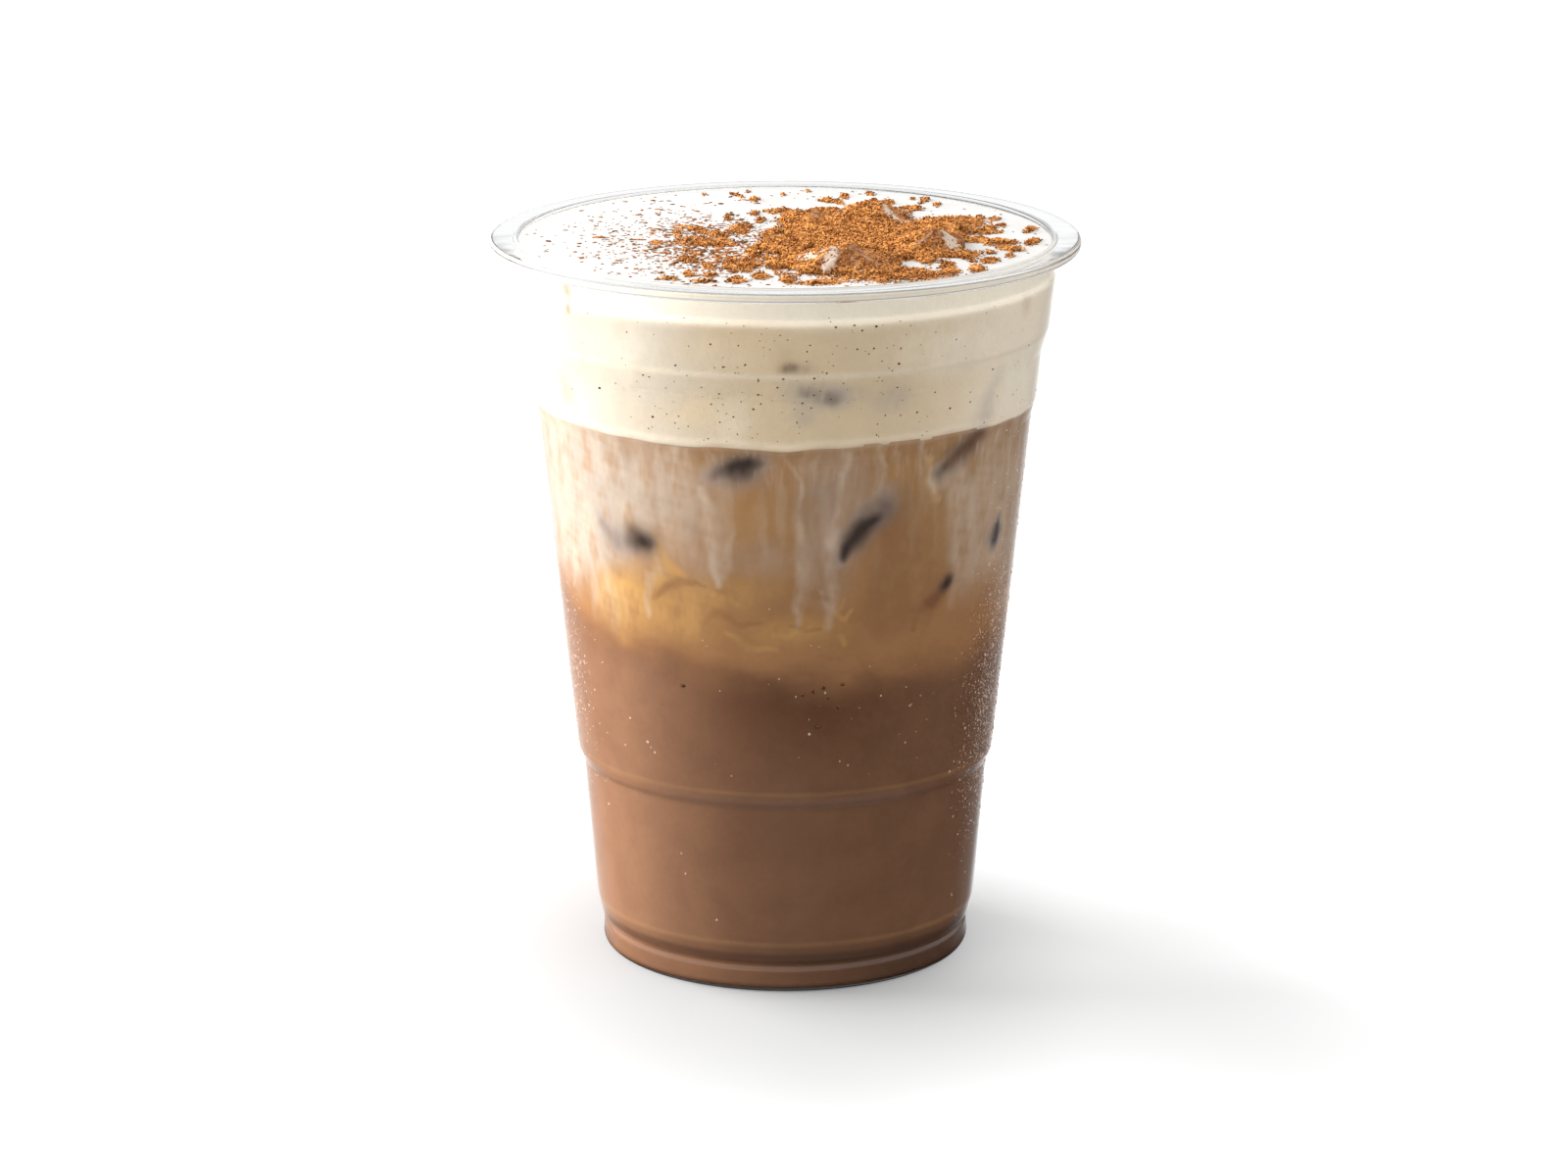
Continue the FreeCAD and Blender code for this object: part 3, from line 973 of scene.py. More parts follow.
# --- The drink ---
@dataclass
class Drink:
    """Mocha and horchata: two skins that reach just into the wall, painted as one."""

    ice: Ice
    steps: int = 720
    mocha_steps: int = 400
    rise: float = 0.38            # height of a row of the horchata's skin, in mm
    mocha_rise: float = 0.42
    pool_count: int = 17          # seeded marks round the sides and the back
    drip_count: int = 24
    curl_count: int = 20
    thread_count: int = 150
    seed: int = 4
    finish: Liquid = field(default_factory=Liquid)

    POOLS = (
        (-56, 84, 21, 14, Tint.MILK, 0.9), (-28, 86, 9, 10.5, Tint.MILK, 0.9), (-70, 74, 12, 9, Tint.MIST),
        (-58, 87, 20, 13, Tint.MIST, 0.95), (-52, 75, 7, 5, Tint.MIST, 0.6), (-20, 78, 5, 8, Tint.VEIL, 0.5),
        (12, 85, 6.5, 11, Tint.VEIL, 0.85), (10, 74, 5, 6, Tint.VEIL, 0.5), (55, 82, 9, 15, Tint.MILK, 0.85),
        (50.5, 74, 5, 9.5, Tint.MILK, 0.6), (72, 78, 12, 17, Tint.MILK), (-5, 76.5, 6, 3.5, Tint.VEIL, 0.45),
        (-6.5, 84, 4.5, 4, Tint.AMBER, 0.55), (29, 86, 5.5, 5.5, Tint.AMBER, 0.5),
        (30, 70, 9, 8, Tint.BROWN, 0.6), (30, 79, 8, 4, Tint.BROWN, 0.3), (-42, 66.5, 7.5, 7, Tint.GOLD, 1),
        (-48.5, 65.5, 5, 6, Tint.HONEY, 0.75), (-27, 66, 8, 5.5, Tint.GOLD, 0.75),
        (-14, 70, 8, 4, Tint.GOLD, 0.45), (2, 64, 9, 3, Tint.GOLD, 0.5), (55, 64, 8, 5, Tint.BROWN, 0.4),
    )
    CURTAINS = (                  # milk that hangs from the foam
        ((-18.6, 88, 0.6, -17.6, 80, 0.9, -15.4, 71.6, 0.6), Tint.PALE, 0.5, 0.8),
        ((-12.3, 80.5, 0.5, -13.4, 75, 0.7, -15.2, 71.4, 0.6), Tint.MILK, 0.5),
        ((-17.2, 84, 1.8, -15.4, 74, 1.2), Tint.MILK, 0.6, 1),
        ((-24, 90, 0.8, -23, 82, 1.2, -22, 77, 0.7), Tint.MILK, 0.4, 1),
        ((0, 94.4, 0.45, 2.4, 92, 0.4, 4, 89.6, 0.45, 3.6, 84, 0.6, 3.1, 80, 0.9), Tint.PALE, 0.4, 0.9),
        ((3.1, 80, 0.9, 4.6, 76, 1.7, 3.8, 71.5, 1.3, 3.2, 68, 0.7, 3, 64.5, 0.5), Tint.MILK, 0.55, 1),
        ((2.7, 76, 0.6, 2.4, 71.5, 0.7, 2.6, 67.5, 0.4), Tint.PALE, 0.25, 1),
        ((8.2, 88, 1.6, 8, 78, 1.8), Tint.VEIL, 0.6, 1),
        ((13.4, 94, 0.45, 12.9, 84, 0.6, 11.2, 78.5, 1.1), Tint.PALE, 0.36, 0.9),
        ((11.2, 78.5, 1.1, 10.9, 71, 1.1, 10.6, 64.6, 0.7), Tint.PALE, 0.3, 1),
        ((44.5, 93, 1, 38, 89.5, 1.2, 36.2, 87.4, 0.8), Tint.PALE, 0.6),
        ((42.5, 88, 2, 45.6, 85, 1.8), Tint.PALE, 0.45, 1),
        ((35.4, 91.5, 0.7, 35.5, 88, 0.8, 36.8, 85.4, 0.8, 38.8, 85, 0.6), Tint.HONEY, 0.85, 0.9),
        ((35.9, 90, 0.3, 36, 87.6, 0.4, 37, 85.9, 0.4), Tint.PALE, 0.6, 0.9),
        ((45.6, 85, 2.2, 46.4, 80, 1.8, 46.6, 75.5, 1.3, 45.6, 70, 1, 44.6, 65.5, 0.8), Tint.PALE, 0.16, 1),
        ((-53.9, 81, 1.2, -54.3, 74, 1.3, -55, 66, 1.1, -57, 61.5, 0.8), Tint.PALE, 0.3, 1),
        ((-50.6, 75, 0.8, -48.6, 70.7, 0.8, -48.5, 65.6, 0.8, -48.2, 60.6, 0.7), Tint.PALE, 0.2, 1),
        ((-44.4, 69.5, 0.5, -44.2, 64, 0.6, -43.8, 59.8, 0.6), Tint.GOLD, 0.9),
        ((-33.6, 76, 0.8, -32.4, 72.8, 0.9, -34.6, 70.6, 0.8, -36.2, 67.6, 0.6, -35.8, 65, 0.4), Tint.HONEY,
         0.55, 0.9),
        ((-34.8, 72.2, 0.7, -35.3, 68, 0.6, -35.8, 65.3, 0.5), Tint.MILK, 0.45),
        ((-62, 80, 1, -63, 72, 0.8, -66, 66, 0.6), Tint.PALE, 0.2, 1),
    )
    CURLS = (                     # gold hooks and curls
        ((-31.6, 77.2, 0.7, -30.6, 75.2, 0.9, -29.2, 73.4, 1.1, -25.4, 72.4, 0.6), Tint.GOLD, 0.75),
        ((-33.2, 70.8, 0.8, -31.6, 71.6, 0.7), Tint.GOLD, 0.6),
        ((-17.6, 69.6, 0.5, -14.4, 68.9, 0.9, -11.6, 68, 0.5), Tint.GOLD, 0.65),
        ((-14.6, 63.6, 0.4, -8.8, 61.4, 0.55, -2.4, 61, 0.4), Tint.GOLD, 0.6),
        ((-3, 63.6, 0.4, 1, 63, 0.5, 6, 64.5, 0.4), Tint.GOLD, 0.5),
        ((13.8, 69.2, 0.35, 12.4, 67.2, 0.5, 14.6, 66, 0.5, 16.4, 67.4, 0.35), Tint.GOLD, 0.6),
        ((13.6, 62.6, 0.6, 15.4, 61.4, 0.5), Tint.GOLD, 0.6),
        ((8, 71, 0.4, 9.2, 68.6, 0.5, 11.6, 67.6, 0.4), Tint.MILK, 0.5),
    )
    SHADOWS = (                   # rust under the curls
        ((-33.4, 68.6, 0.5, -31, 70.2, 0.7, -27, 71.2, 0.8, -22, 71.4, 0.6, -19.6, 70.8, 0.3), Tint.RUST,
         0.5),
        ((-20, 64.4, 0.5, -18.4, 66.6, 0.8, -14, 66.4, 0.6, -10.6, 65, 0.5, -6, 65.4, 0.3), Tint.BROWN, 0.6),
        ((1, 64.9, 0.4, 5, 64, 0.6, 9, 64.3, 0.4), Tint.RUST, 0.4),
        ((37.6, 67.6, 1, 35, 66.4, 1.1, 33.4, 62.8, 0.5), Tint.RUST, 0.5, 0.8),
        ((9, 58.9, 0.5, 14, 58.4, 0.5), Tint.RUST, 0.4), ((6, 70.6, 0.5, 9.4, 69.8, 0.5), Tint.BROWN, 0.5),
    )
    ICE_MARKS = (
        ((-16.6, 90.2, 1.8, -13, 90.8, 2.8, -8, 91.8, 2.8, -4.6, 92.6, 1.6), Tint.DUSK, 0.5, 1),
        ((-15.4, 90.8, 1.4, -12.2, 91.3, 2.4, -8.8, 92.2, 2.4, -6.2, 92.9, 1.4), Tint.HALO, 0.9, 1),
        ((-12.6, 91.6, 1.3, -10.4, 92, 2, -8.4, 92.6, 1.5), Tint.ICE, 1, 0.95),
        ((-49.6, 80.2, 1, -47.6, 78.6, 1.6, -44.4, 77, 1.8, -40, 76.8, 1.4), Tint.DUSK, 0.6, 1),
        ((-48.4, 79, 0.9, -45.8, 77.4, 1.3, -43.6, 76.8, 0.9), Tint.HALO, 0.4, 1),
        (-37.2, 77.7, 4.4, 3.4, Tint.HALO, 0.7, 0, 1), (-36.6, 77.2, 2.9, 2.2, Tint.ICE, 1, 0, 0.9),
        (-39.6, 79.2, 1.8, 1.3, Tint.ICE, 0.4, 0, 1), (25, 79, 5.5, 6, Tint.BROWN, 0.7, 40, 1),
        (24.4, 84.2, 5, 3.6, Tint.HALO, 0.5, 20, 1),
        ((13.6, 76.2, 0.9, 16.2, 79.4, 2.3, 19.6, 83, 2.7, 23.4, 86.4, 1.8), Tint.DUSK, 0.4, 1),
        ((14.6, 76.8, 0.7, 17, 79.4, 2, 19.8, 82.4, 2.3, 22.4, 84.8, 1.6), Tint.HALO, 0.8, 1),
        ((14.8, 77, 0.7, 16.6, 79, 1.6, 18.8, 81.4, 1.6, 20.6, 83, 0.9), Tint.ICE, 0.95, 1),
        ((37.4, 87.8, 1.6, 41.5, 89.2, 1.8), Tint.PALE, 0.6, 1),
        ((38.6, 88.8, 1.4, 41.6, 90.6, 2.2, 45.6, 92.8, 2.4, 49, 95, 1.9), Tint.HALO, 0.85, 1),
        ((40.6, 90.2, 1, 43.4, 91.8, 1.7, 46.5, 93.6, 1.8, 48.6, 94.9, 1.3), Tint.UMBER, 0.6, 1),
        (61.5, 75.6, 2.2, 4.2, Tint.PALE, 0.6, -8, 0.9),
        ((60.9, 74, 1.3, 61.4, 75.6, 2, 62, 77.2, 1.2), Tint.SLATE, 0.9, 1),
        ((61.1, 74.8, 0.9, 61.6, 76.4, 1), Tint.ICE, 0.8, 1), (39.4, 67.4, 2.4, 1.7, Tint.RUST, 0.8, 40, 0.9),
        (42, 69.4, 2.2, 1.7, Tint.HALO, 0.7, 0, 1), (42, 69.4, 1.5, 1.3, Tint.ICE, 0.95, 0, 1),
    )
    RINGS = (                     # strength, height, width and tint of painted lines along the ledges: the light ones are painted highlights, the dark ones painted shade
        (0.35, 35.4, 0.35, Tint.COFFEE), (0.35, 33.2, 0.5, Tint.FOOT_SHADE),
        (0.30, 8.6, 0.35, Tint.COFFEE), (0.55, 6.4, 0.5, Tint.FOOT_SHADE),
    )

    def rest_of_strokes(self, rng: np.random.Generator) -> list[Row]:
        """Seeded pools, drips and curls round the sides and the back.

        Args:
            rng: seeded random numbers.

        Returns:
            The fields of each mark, in order.
        """
        marks: list[Row] = []
        for i in range(self.pool_count):
            azimuth = 88.0 + (190.0 * i + rng.uniform(-90, 90)) / self.pool_count
            tint = (Tint.MILK, Tint.AMBER, Tint.VEIL, Tint.MILK)[rng.integers(4)]
            marks.append((azimuth, rng.uniform(76, 90), rng.uniform(5, 12), rng.uniform(6, 12), tint,
                          rng.uniform(0.5, 0.85)))
            marks.append((azimuth + rng.uniform(-6, 6), rng.uniform(61, 69), rng.uniform(4, 9),
                          rng.uniform(3, 6), (Tint.GOLD, Tint.BROWN)[rng.integers(2)], rng.uniform(0.4, 0.8)))
        for i in range(self.drip_count):
            azimuth = 84.0 + (196.0 * i + rng.uniform(-70, 70)) / self.drip_count
            top = rng.uniform(82, 94.5)
            points, width = [azimuth, top, 0.5], rng.uniform(0.5, 1.1)
            while top > 64.0 and rng.random() < 0.85:
                top -= rng.uniform(3.0, 6.0)
                azimuth += rng.uniform(-0.9, 0.9)
                points += [azimuth, top, width * rng.uniform(0.7, 1.9)]
            marks.append(((*points, azimuth, top - 2.0, 0.4), (Tint.PALE, Tint.MILK)[rng.integers(2)],
                          rng.uniform(0.2, 0.42), 1.0))
        for i in range(self.curl_count):
            azimuth = 80.0 + (200.0 * i + rng.uniform(-80, 80)) / self.curl_count
            height = rng.uniform(60, 73)
            bend = rng.uniform(-2.5, 2.5)
            points = (azimuth - 4, height, 0.4, azimuth, height + bend, 0.8,
                      azimuth + 4, height - 0.5 * bend, 0.4)
            marks.append((points, (Tint.GOLD, Tint.RUST, Tint.GOLD)[rng.integers(3)], rng.uniform(0.4, 0.7)))
        return marks

    def fine_threads(self, rng: np.random.Generator) -> list[Row]:
        """Seeded fine threads of milk that hang from the foam.

        Args:
            rng: seeded random numbers.

        Returns:
            The fields of each stroke, in order.
        """
        marks = []
        for _ in range(self.thread_count):
            azimuth, top = rng.uniform(-180, 180), rng.uniform(92.5, 95.5)
            length = rng.gamma(2.0, 1.3) + 0.8
            marks.append(((azimuth, top, 0.5, azimuth + rng.uniform(-0.6, 0.6), top - length, 0.25),
                          Tint.PALE, rng.uniform(0.08, 0.35), 1.0))
        return marks

    def paint(self, places: Array) -> tuple[Array, Array]:
        """Colour and amount of hanging threads at each place in mm on a skin.

        Args:
            places: the skin's points in mm.

        Returns:
            The colour and the amount of hanging threads at each point.
        """
        rng = np.random.default_rng(self.seed)
        canvas = Canvas(places, warp=0.7)
        azimuth, height = canvas.azimuth, places[:, 2]
        rise = canvas.height - mocha_line(azimuth) + 0.9 * wall_lumps(azimuth, 3.0 * height, 9.0, 31)
        left = smooth(-azimuth, 0.5, 0.9) * smooth(-azimuth, 2.6, 1.9)
        curtain = wall_lumps(azimuth, 0.12 * height, 2.6, 33) * smooth(height, 64.0, 88.0)
        curtain *= 1.0 - 0.7 * left
        canvas.cover(1.0, Tint.COFFEE)
        canvas.cover(0.85 * smooth(height, 82.0, 64.0), Tint.TOFFEE)
        canvas.mark(self.POOLS)
        canvas.cover(0.16 * smooth(curtain, 0.0, 0.8), Tint.PALE)
        canvas.cover(0.16 * smooth(-curtain, 0.0, 0.8), Tint.BROWN)
        canvas.mark(self.rest_of_strokes(rng))
        canvas.mark(self.CURTAINS + self.CURLS + self.SHADOWS)
        canvas.mark(self.fine_threads(rng))
        right, low = smooth(places[:, 0], -8.0, 24.0), smooth(rise, 1.5, -6.5)
        for mask, tint in (
            (0.6 * smooth(rise, 8.0, -1.0), Tint.TOFFEE),
            (0.7 * smooth(rise, 4.5, -2.0), Tint.BROWN),
            (smooth(rise, 2.6, -6.0), Tint.MOCHA),
            # painted shade: the mocha darker on its right side, away from the lamp
            (0.9 * low * right, Tint.DEEP),
            # painted light: the mocha paler on its left side, which the lamp lights
            (0.9 * low * smooth(-places[:, 0], 6.0, 27.0), Tint.LIT_MOCHA),
            # darker towards the bottom
            (0.75 * low * smooth(height, 9.0, 4.0), Tint.DEEP),
            # painted shade: the foot darker on its right side, away from the lamp
            (0.8 * right * smooth(height, 9.0, 3.5), Tint.FOOT_SHADE),
            # painted shade: the mocha's upper front darker
            (0.9 * low * bell(azimuth * ROUND, 4.0, 16.0) * smooth(height, 34.0, 56.0), Tint.UMBER),
            *((strength * bell(height, *line), tint) for strength, *line, tint in self.RINGS),
        ):
            canvas.cover(mask, tint)
        canvas.mark(self.ICE_MARKS, 0.2)
        ice = self.ice.shade(places) * smooth(rise, 0.0, 4.0)
        canvas.cover(smooth(ice, 0.04, 0.5) * 0.75, Tint.HALO)
        canvas.cover(smooth(ice, 0.35, 0.95), Tint.ICE)
        canvas.cover(0.3 * smooth(height - foam_line(azimuth), -0.7, 0.1) * (1.0 - ice), Tint.PALE)
        threads = smooth(height, 84.0, 94.0) * smooth(canvas.tone[:, 0], 0.12, 0.3) * (1.0 - 0.6 * left)
        # painted light: paler where the wall faces down, as light bounced from the floor
        canvas.tone *= np.where(height > 8.0, WALL.lift(height), 1.0)[:, None]
        return canvas.tone, threads

    def skin(self, layer: str, profile: Profile, steps: int,
             material: bpy.types.Material) -> bpy.types.Object:
        """Turn, paint and dress the skin of one layer.

        Args:
            layer: which layer.
            profile: radius and height in mm of each point.
            steps: divisions of the turn.
            material: the skin's material.

        Returns:
            The piece.
        """
        mesh = lathe(layer + "_skin", profile, steps)
        tone, threads = self.paint(points_of(mesh))
        carry(mesh, tone, {"threads": threads})
        return new_piece(mesh, material)

    def build(self) -> None:
        """Make both skins."""
        material = self.finish.build()
        floor = [(r, WALL.floor(max(r, 0.3)) - 0.05) for r in np.linspace(0.0, 29.6, 40)]
        low = np.arange(0.75, SEAM + self.rise, self.mocha_rise)
        side = [*zip(WALL.inner(low) + BITE - 0.02, low)]
        mocha = self.skin("mocha", floor + side + [(0.0, side[-1][1])], self.mocha_steps, material)
        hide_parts("mocha_layer")
        high = np.arange(SEAM - 0.4, FOAM_EDGE + 0.7, self.rise)
        side = [*zip(WALL.inner(high) + BITE, high)]
        profile = [(0.0, side[0][1]), *side, (0.0, side[-1][1])]
        horchata = self.skin("horchata", profile, self.steps, material)
        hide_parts("horchata_layer")


@dataclass
class FoamCap:
    """Thick cream foam up to the brim: one turned piece with a softly swollen top."""

    ice: Ice
    steps: int = 540
    pool_count: int = 14          # seeded pools round the sides and the back
    seed: int = 8
    finish: Foam = field(default_factory=Foam)

    POOLS = (
        (-17, 101, 8, 3.6, Tint.BUTTER, 0.75), (-9, 98.5, 4.5, 2.5, Tint.BUTTER, 0.5),
        (-30, 99, 6, 3, Tint.BUTTER, 0.25), (-1, 117, 7, 1.8, Tint.BUTTER, 0.55),
        (-14, 111, 9, 3, Tint.BUTTER, 0.3), (10, 98, 12, 2.4, Tint.BUTTER, 0.35),
        (32, 101, 8, 4, Tint.BUTTER, 0.3), (8, 103.6, 6.5, 2.6, Tint.DUSK, 0.3),
        (24, 102.4, 3.5, 2.4, Tint.DUSK, 0.2), (-51.8, 116.9, 0.7, 1.9, Tint.SMEAR, 0.8, 8, 0.5),
        (-51.4, 114.8, 0.5, 0.8, Tint.SMEAR, 0.6, 0, 0.5), (60, 116, 1, 1.6, Tint.SMEAR, 0.25),
        (1, 110.6, 2.2, 2.4, Tint.SMEAR, 0.22, 0, 1), (2.2, 108.4, 3, 1.5, Tint.SMEAR, 0.6, 0, 1),
        (2.2, 108.4, 2, 1, Tint.HALO, 0.9, 0, 1), (2, 108.5, 1.1, 0.6, Tint.ICE, 0.7, 0, 1),
        (8.6, 104.4, 6, 2.6, Tint.DUSK, 0.6, -10, 1),
        ((4.4, 105, 0.9, 7.2, 104.6, 1.5, 10.4, 103.4, 1.2), Tint.HALO, 0.6, 1),
        (4.4, 100.4, 2.6, 1.8, Tint.DUSK, 0.35, 0, 1),
        ((-59, 103, 1.6, -57.6, 100.6, 3.2, -55.6, 97.8, 2), Tint.DUSK, 0.6, 1),
        ((-58, 101.6, 1, -57, 99.8, 2), Tint.SMEAR, 0.7, 1),
        ((48.4, 95.4, 2, 51.4, 98.8, 2.6, 54, 102.6, 1.8), Tint.DUSK, 0.5, 1),
        (40, 110.5, 13, 5, Tint.CHALK, 0.6, 0, 1), (64, 103, 9, 8, Tint.CHALK, 0.8, 0, 1),
        (-11.5, 99, 3, 5, Tint.CHALK, 0.35, 0, 1), (-36, 110, 7, 5, Tint.CHALK, 0.35, 0, 1),
        (-60, 98, 9, 4, Tint.CHALK, 0.3, 0, 1), (24, 102.8, 3.6, 3, Tint.DUSK, 0.3, 0, 1),
    )
    NECK_POOLS = (
        (-14, 114.8, 6, 1.6, Tint.HONEY, 0.28, 0, 1), (-4, 115.4, 5, 1.4, Tint.HONEY, 0.22, 0, 1),
        (-12, 112.4, 4, 1, Tint.BUTTER, 0.4, 0, 1), (62, 114.4, 1.6, 2.2, Tint.SMEAR, 0.22, 0, 1),
        (-52.4, 118.4, 1.5, 2.4, Tint.RUST, 0.7, 8, 0.8), (-51.4, 115.6, 0.9, 1.5, Tint.RUST, 0.5, 0, 0.8),
    )

    def paint(self, places: Array) -> Array:
        """Colour of the foam at each point.

        Args:
            places: the foam's points in mm.

        Returns:
            The colour at each point.
        """
        rng = np.random.default_rng(self.seed)
        canvas = Canvas(places, warp=0.4)
        azimuth, height = canvas.azimuth, places[:, 2]
        line = height - foam_line(azimuth)
        ahead = smooth(np.abs(azimuth), 2.9, 2.0)
        ice = self.ice.shade(places)
        canvas.cover(1.0, Tint.CREAM)
        # painted shade: the foam's front and right warmer and darker than its lit left side
        canvas.cover(smooth(azimuth, -0.55, -0.05) * ahead, Tint.BUTTER)
        # painted light: the foam's right side paler, lit through from behind
        canvas.cover(smooth(azimuth, 0.35, 1.05) * ahead, Tint.IVORY)
        canvas.mark([(rng.uniform(80, 280), rng.uniform(96, 117), rng.uniform(4, 10), rng.uniform(2, 4),
                      Tint.BUTTER, rng.uniform(0.2, 0.6)) for _ in range(self.pool_count)])
        canvas.mark(self.POOLS)
        canvas.cover(0.55 * smooth(line, 0.55, -0.05), Tint.MILK)
        canvas.cover(smooth(ice, 0.04, 0.6) * 0.8, Tint.DUSK)
        canvas.cover(smooth(ice, 0.25, 0.9) * 0.85, Tint.HALO)
        # painted light: the foam paler just under the brim, lit from above
        canvas.cover(0.9 * smooth(height, 114.0, 117.0), Tint.CHALK)
        canvas.mark(self.NECK_POOLS, 0.3)
        canvas.cover(0.5 * bell(line, 1.0, 0.5), Tint.IVORY)
        # painted light: paler where the wall faces down, as light bounced from the floor
        canvas.tone *= WALL.lift(np.minimum(height, 118.0))[:, None]
        # painted highlight along the ledge
        canvas.cover(0.8 * bell(height, 107.3, 0.45), Tint.IVORY)
        # painted shade: the foam's top greyer than its own white, against the strong light from above
        canvas.cover(smooth(height, FOAM_LEVEL - 1.0, FOAM_LEVEL - 0.3), Tint.GREYED_TOP)
        return canvas.tone

    def swell(self, places: Array) -> Array:
        """Let the foam's top and lower edge rise and fall, without disturbing the wall between.

        Args:
            places: the turned points in mm.

        Returns:
            The points, moved up or down.
        """
        x, y, height = places.T
        share = (height - FOAM_EDGE) / (FOAM_LEVEL - FOAM_EDGE)
        height = height + (foam_line(np.arctan2(x, -y)) - FOAM_EDGE) * smooth(share, 0.1, 0.0)
        return np.stack([x, y, height + (foam_top(x, y) - FOAM_LEVEL) * smooth(share, 0.97, 1.0)], axis=1)

    def build(self) -> None:
        """Make the foam."""
        heights = np.append(np.arange(FOAM_EDGE, FOAM_LEVEL - 0.2, 0.4), FOAM_LEVEL)
        side = [*zip(WALL.inner(heights) + BITE + 0.02, heights)]
        top = [(side[-1][0] * s, FOAM_LEVEL) for s in np.linspace(1.0, 0.0, 62)[1:]]
        base = [(side[0][0] * s, FOAM_EDGE) for s in (0.0, 0.4, 0.8, 0.95)]
        mesh = lathe("foam_cap", base + side + top, self.steps, self.swell)
        carry(mesh, self.paint(points_of(mesh)), {})
        foam = new_piece(mesh, self.finish.build())
        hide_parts("foam_layer")


# --- Cinnamon ---
def patches(rows: tuple[tuple[float, ...], ...], x: Array, y: Array) -> Array:
    """How much ovals cover each place, from 0 to 1: rows of centre, half sizes and, if turned, degrees."""
    return np.max([smooth(oval(x - at_x, y - at_y, half_x, half_y, *(turn or [0.0])), 1.45, 0.35)
                   for at_x, at_y, half_x, half_y, *turn in rows], axis=0)


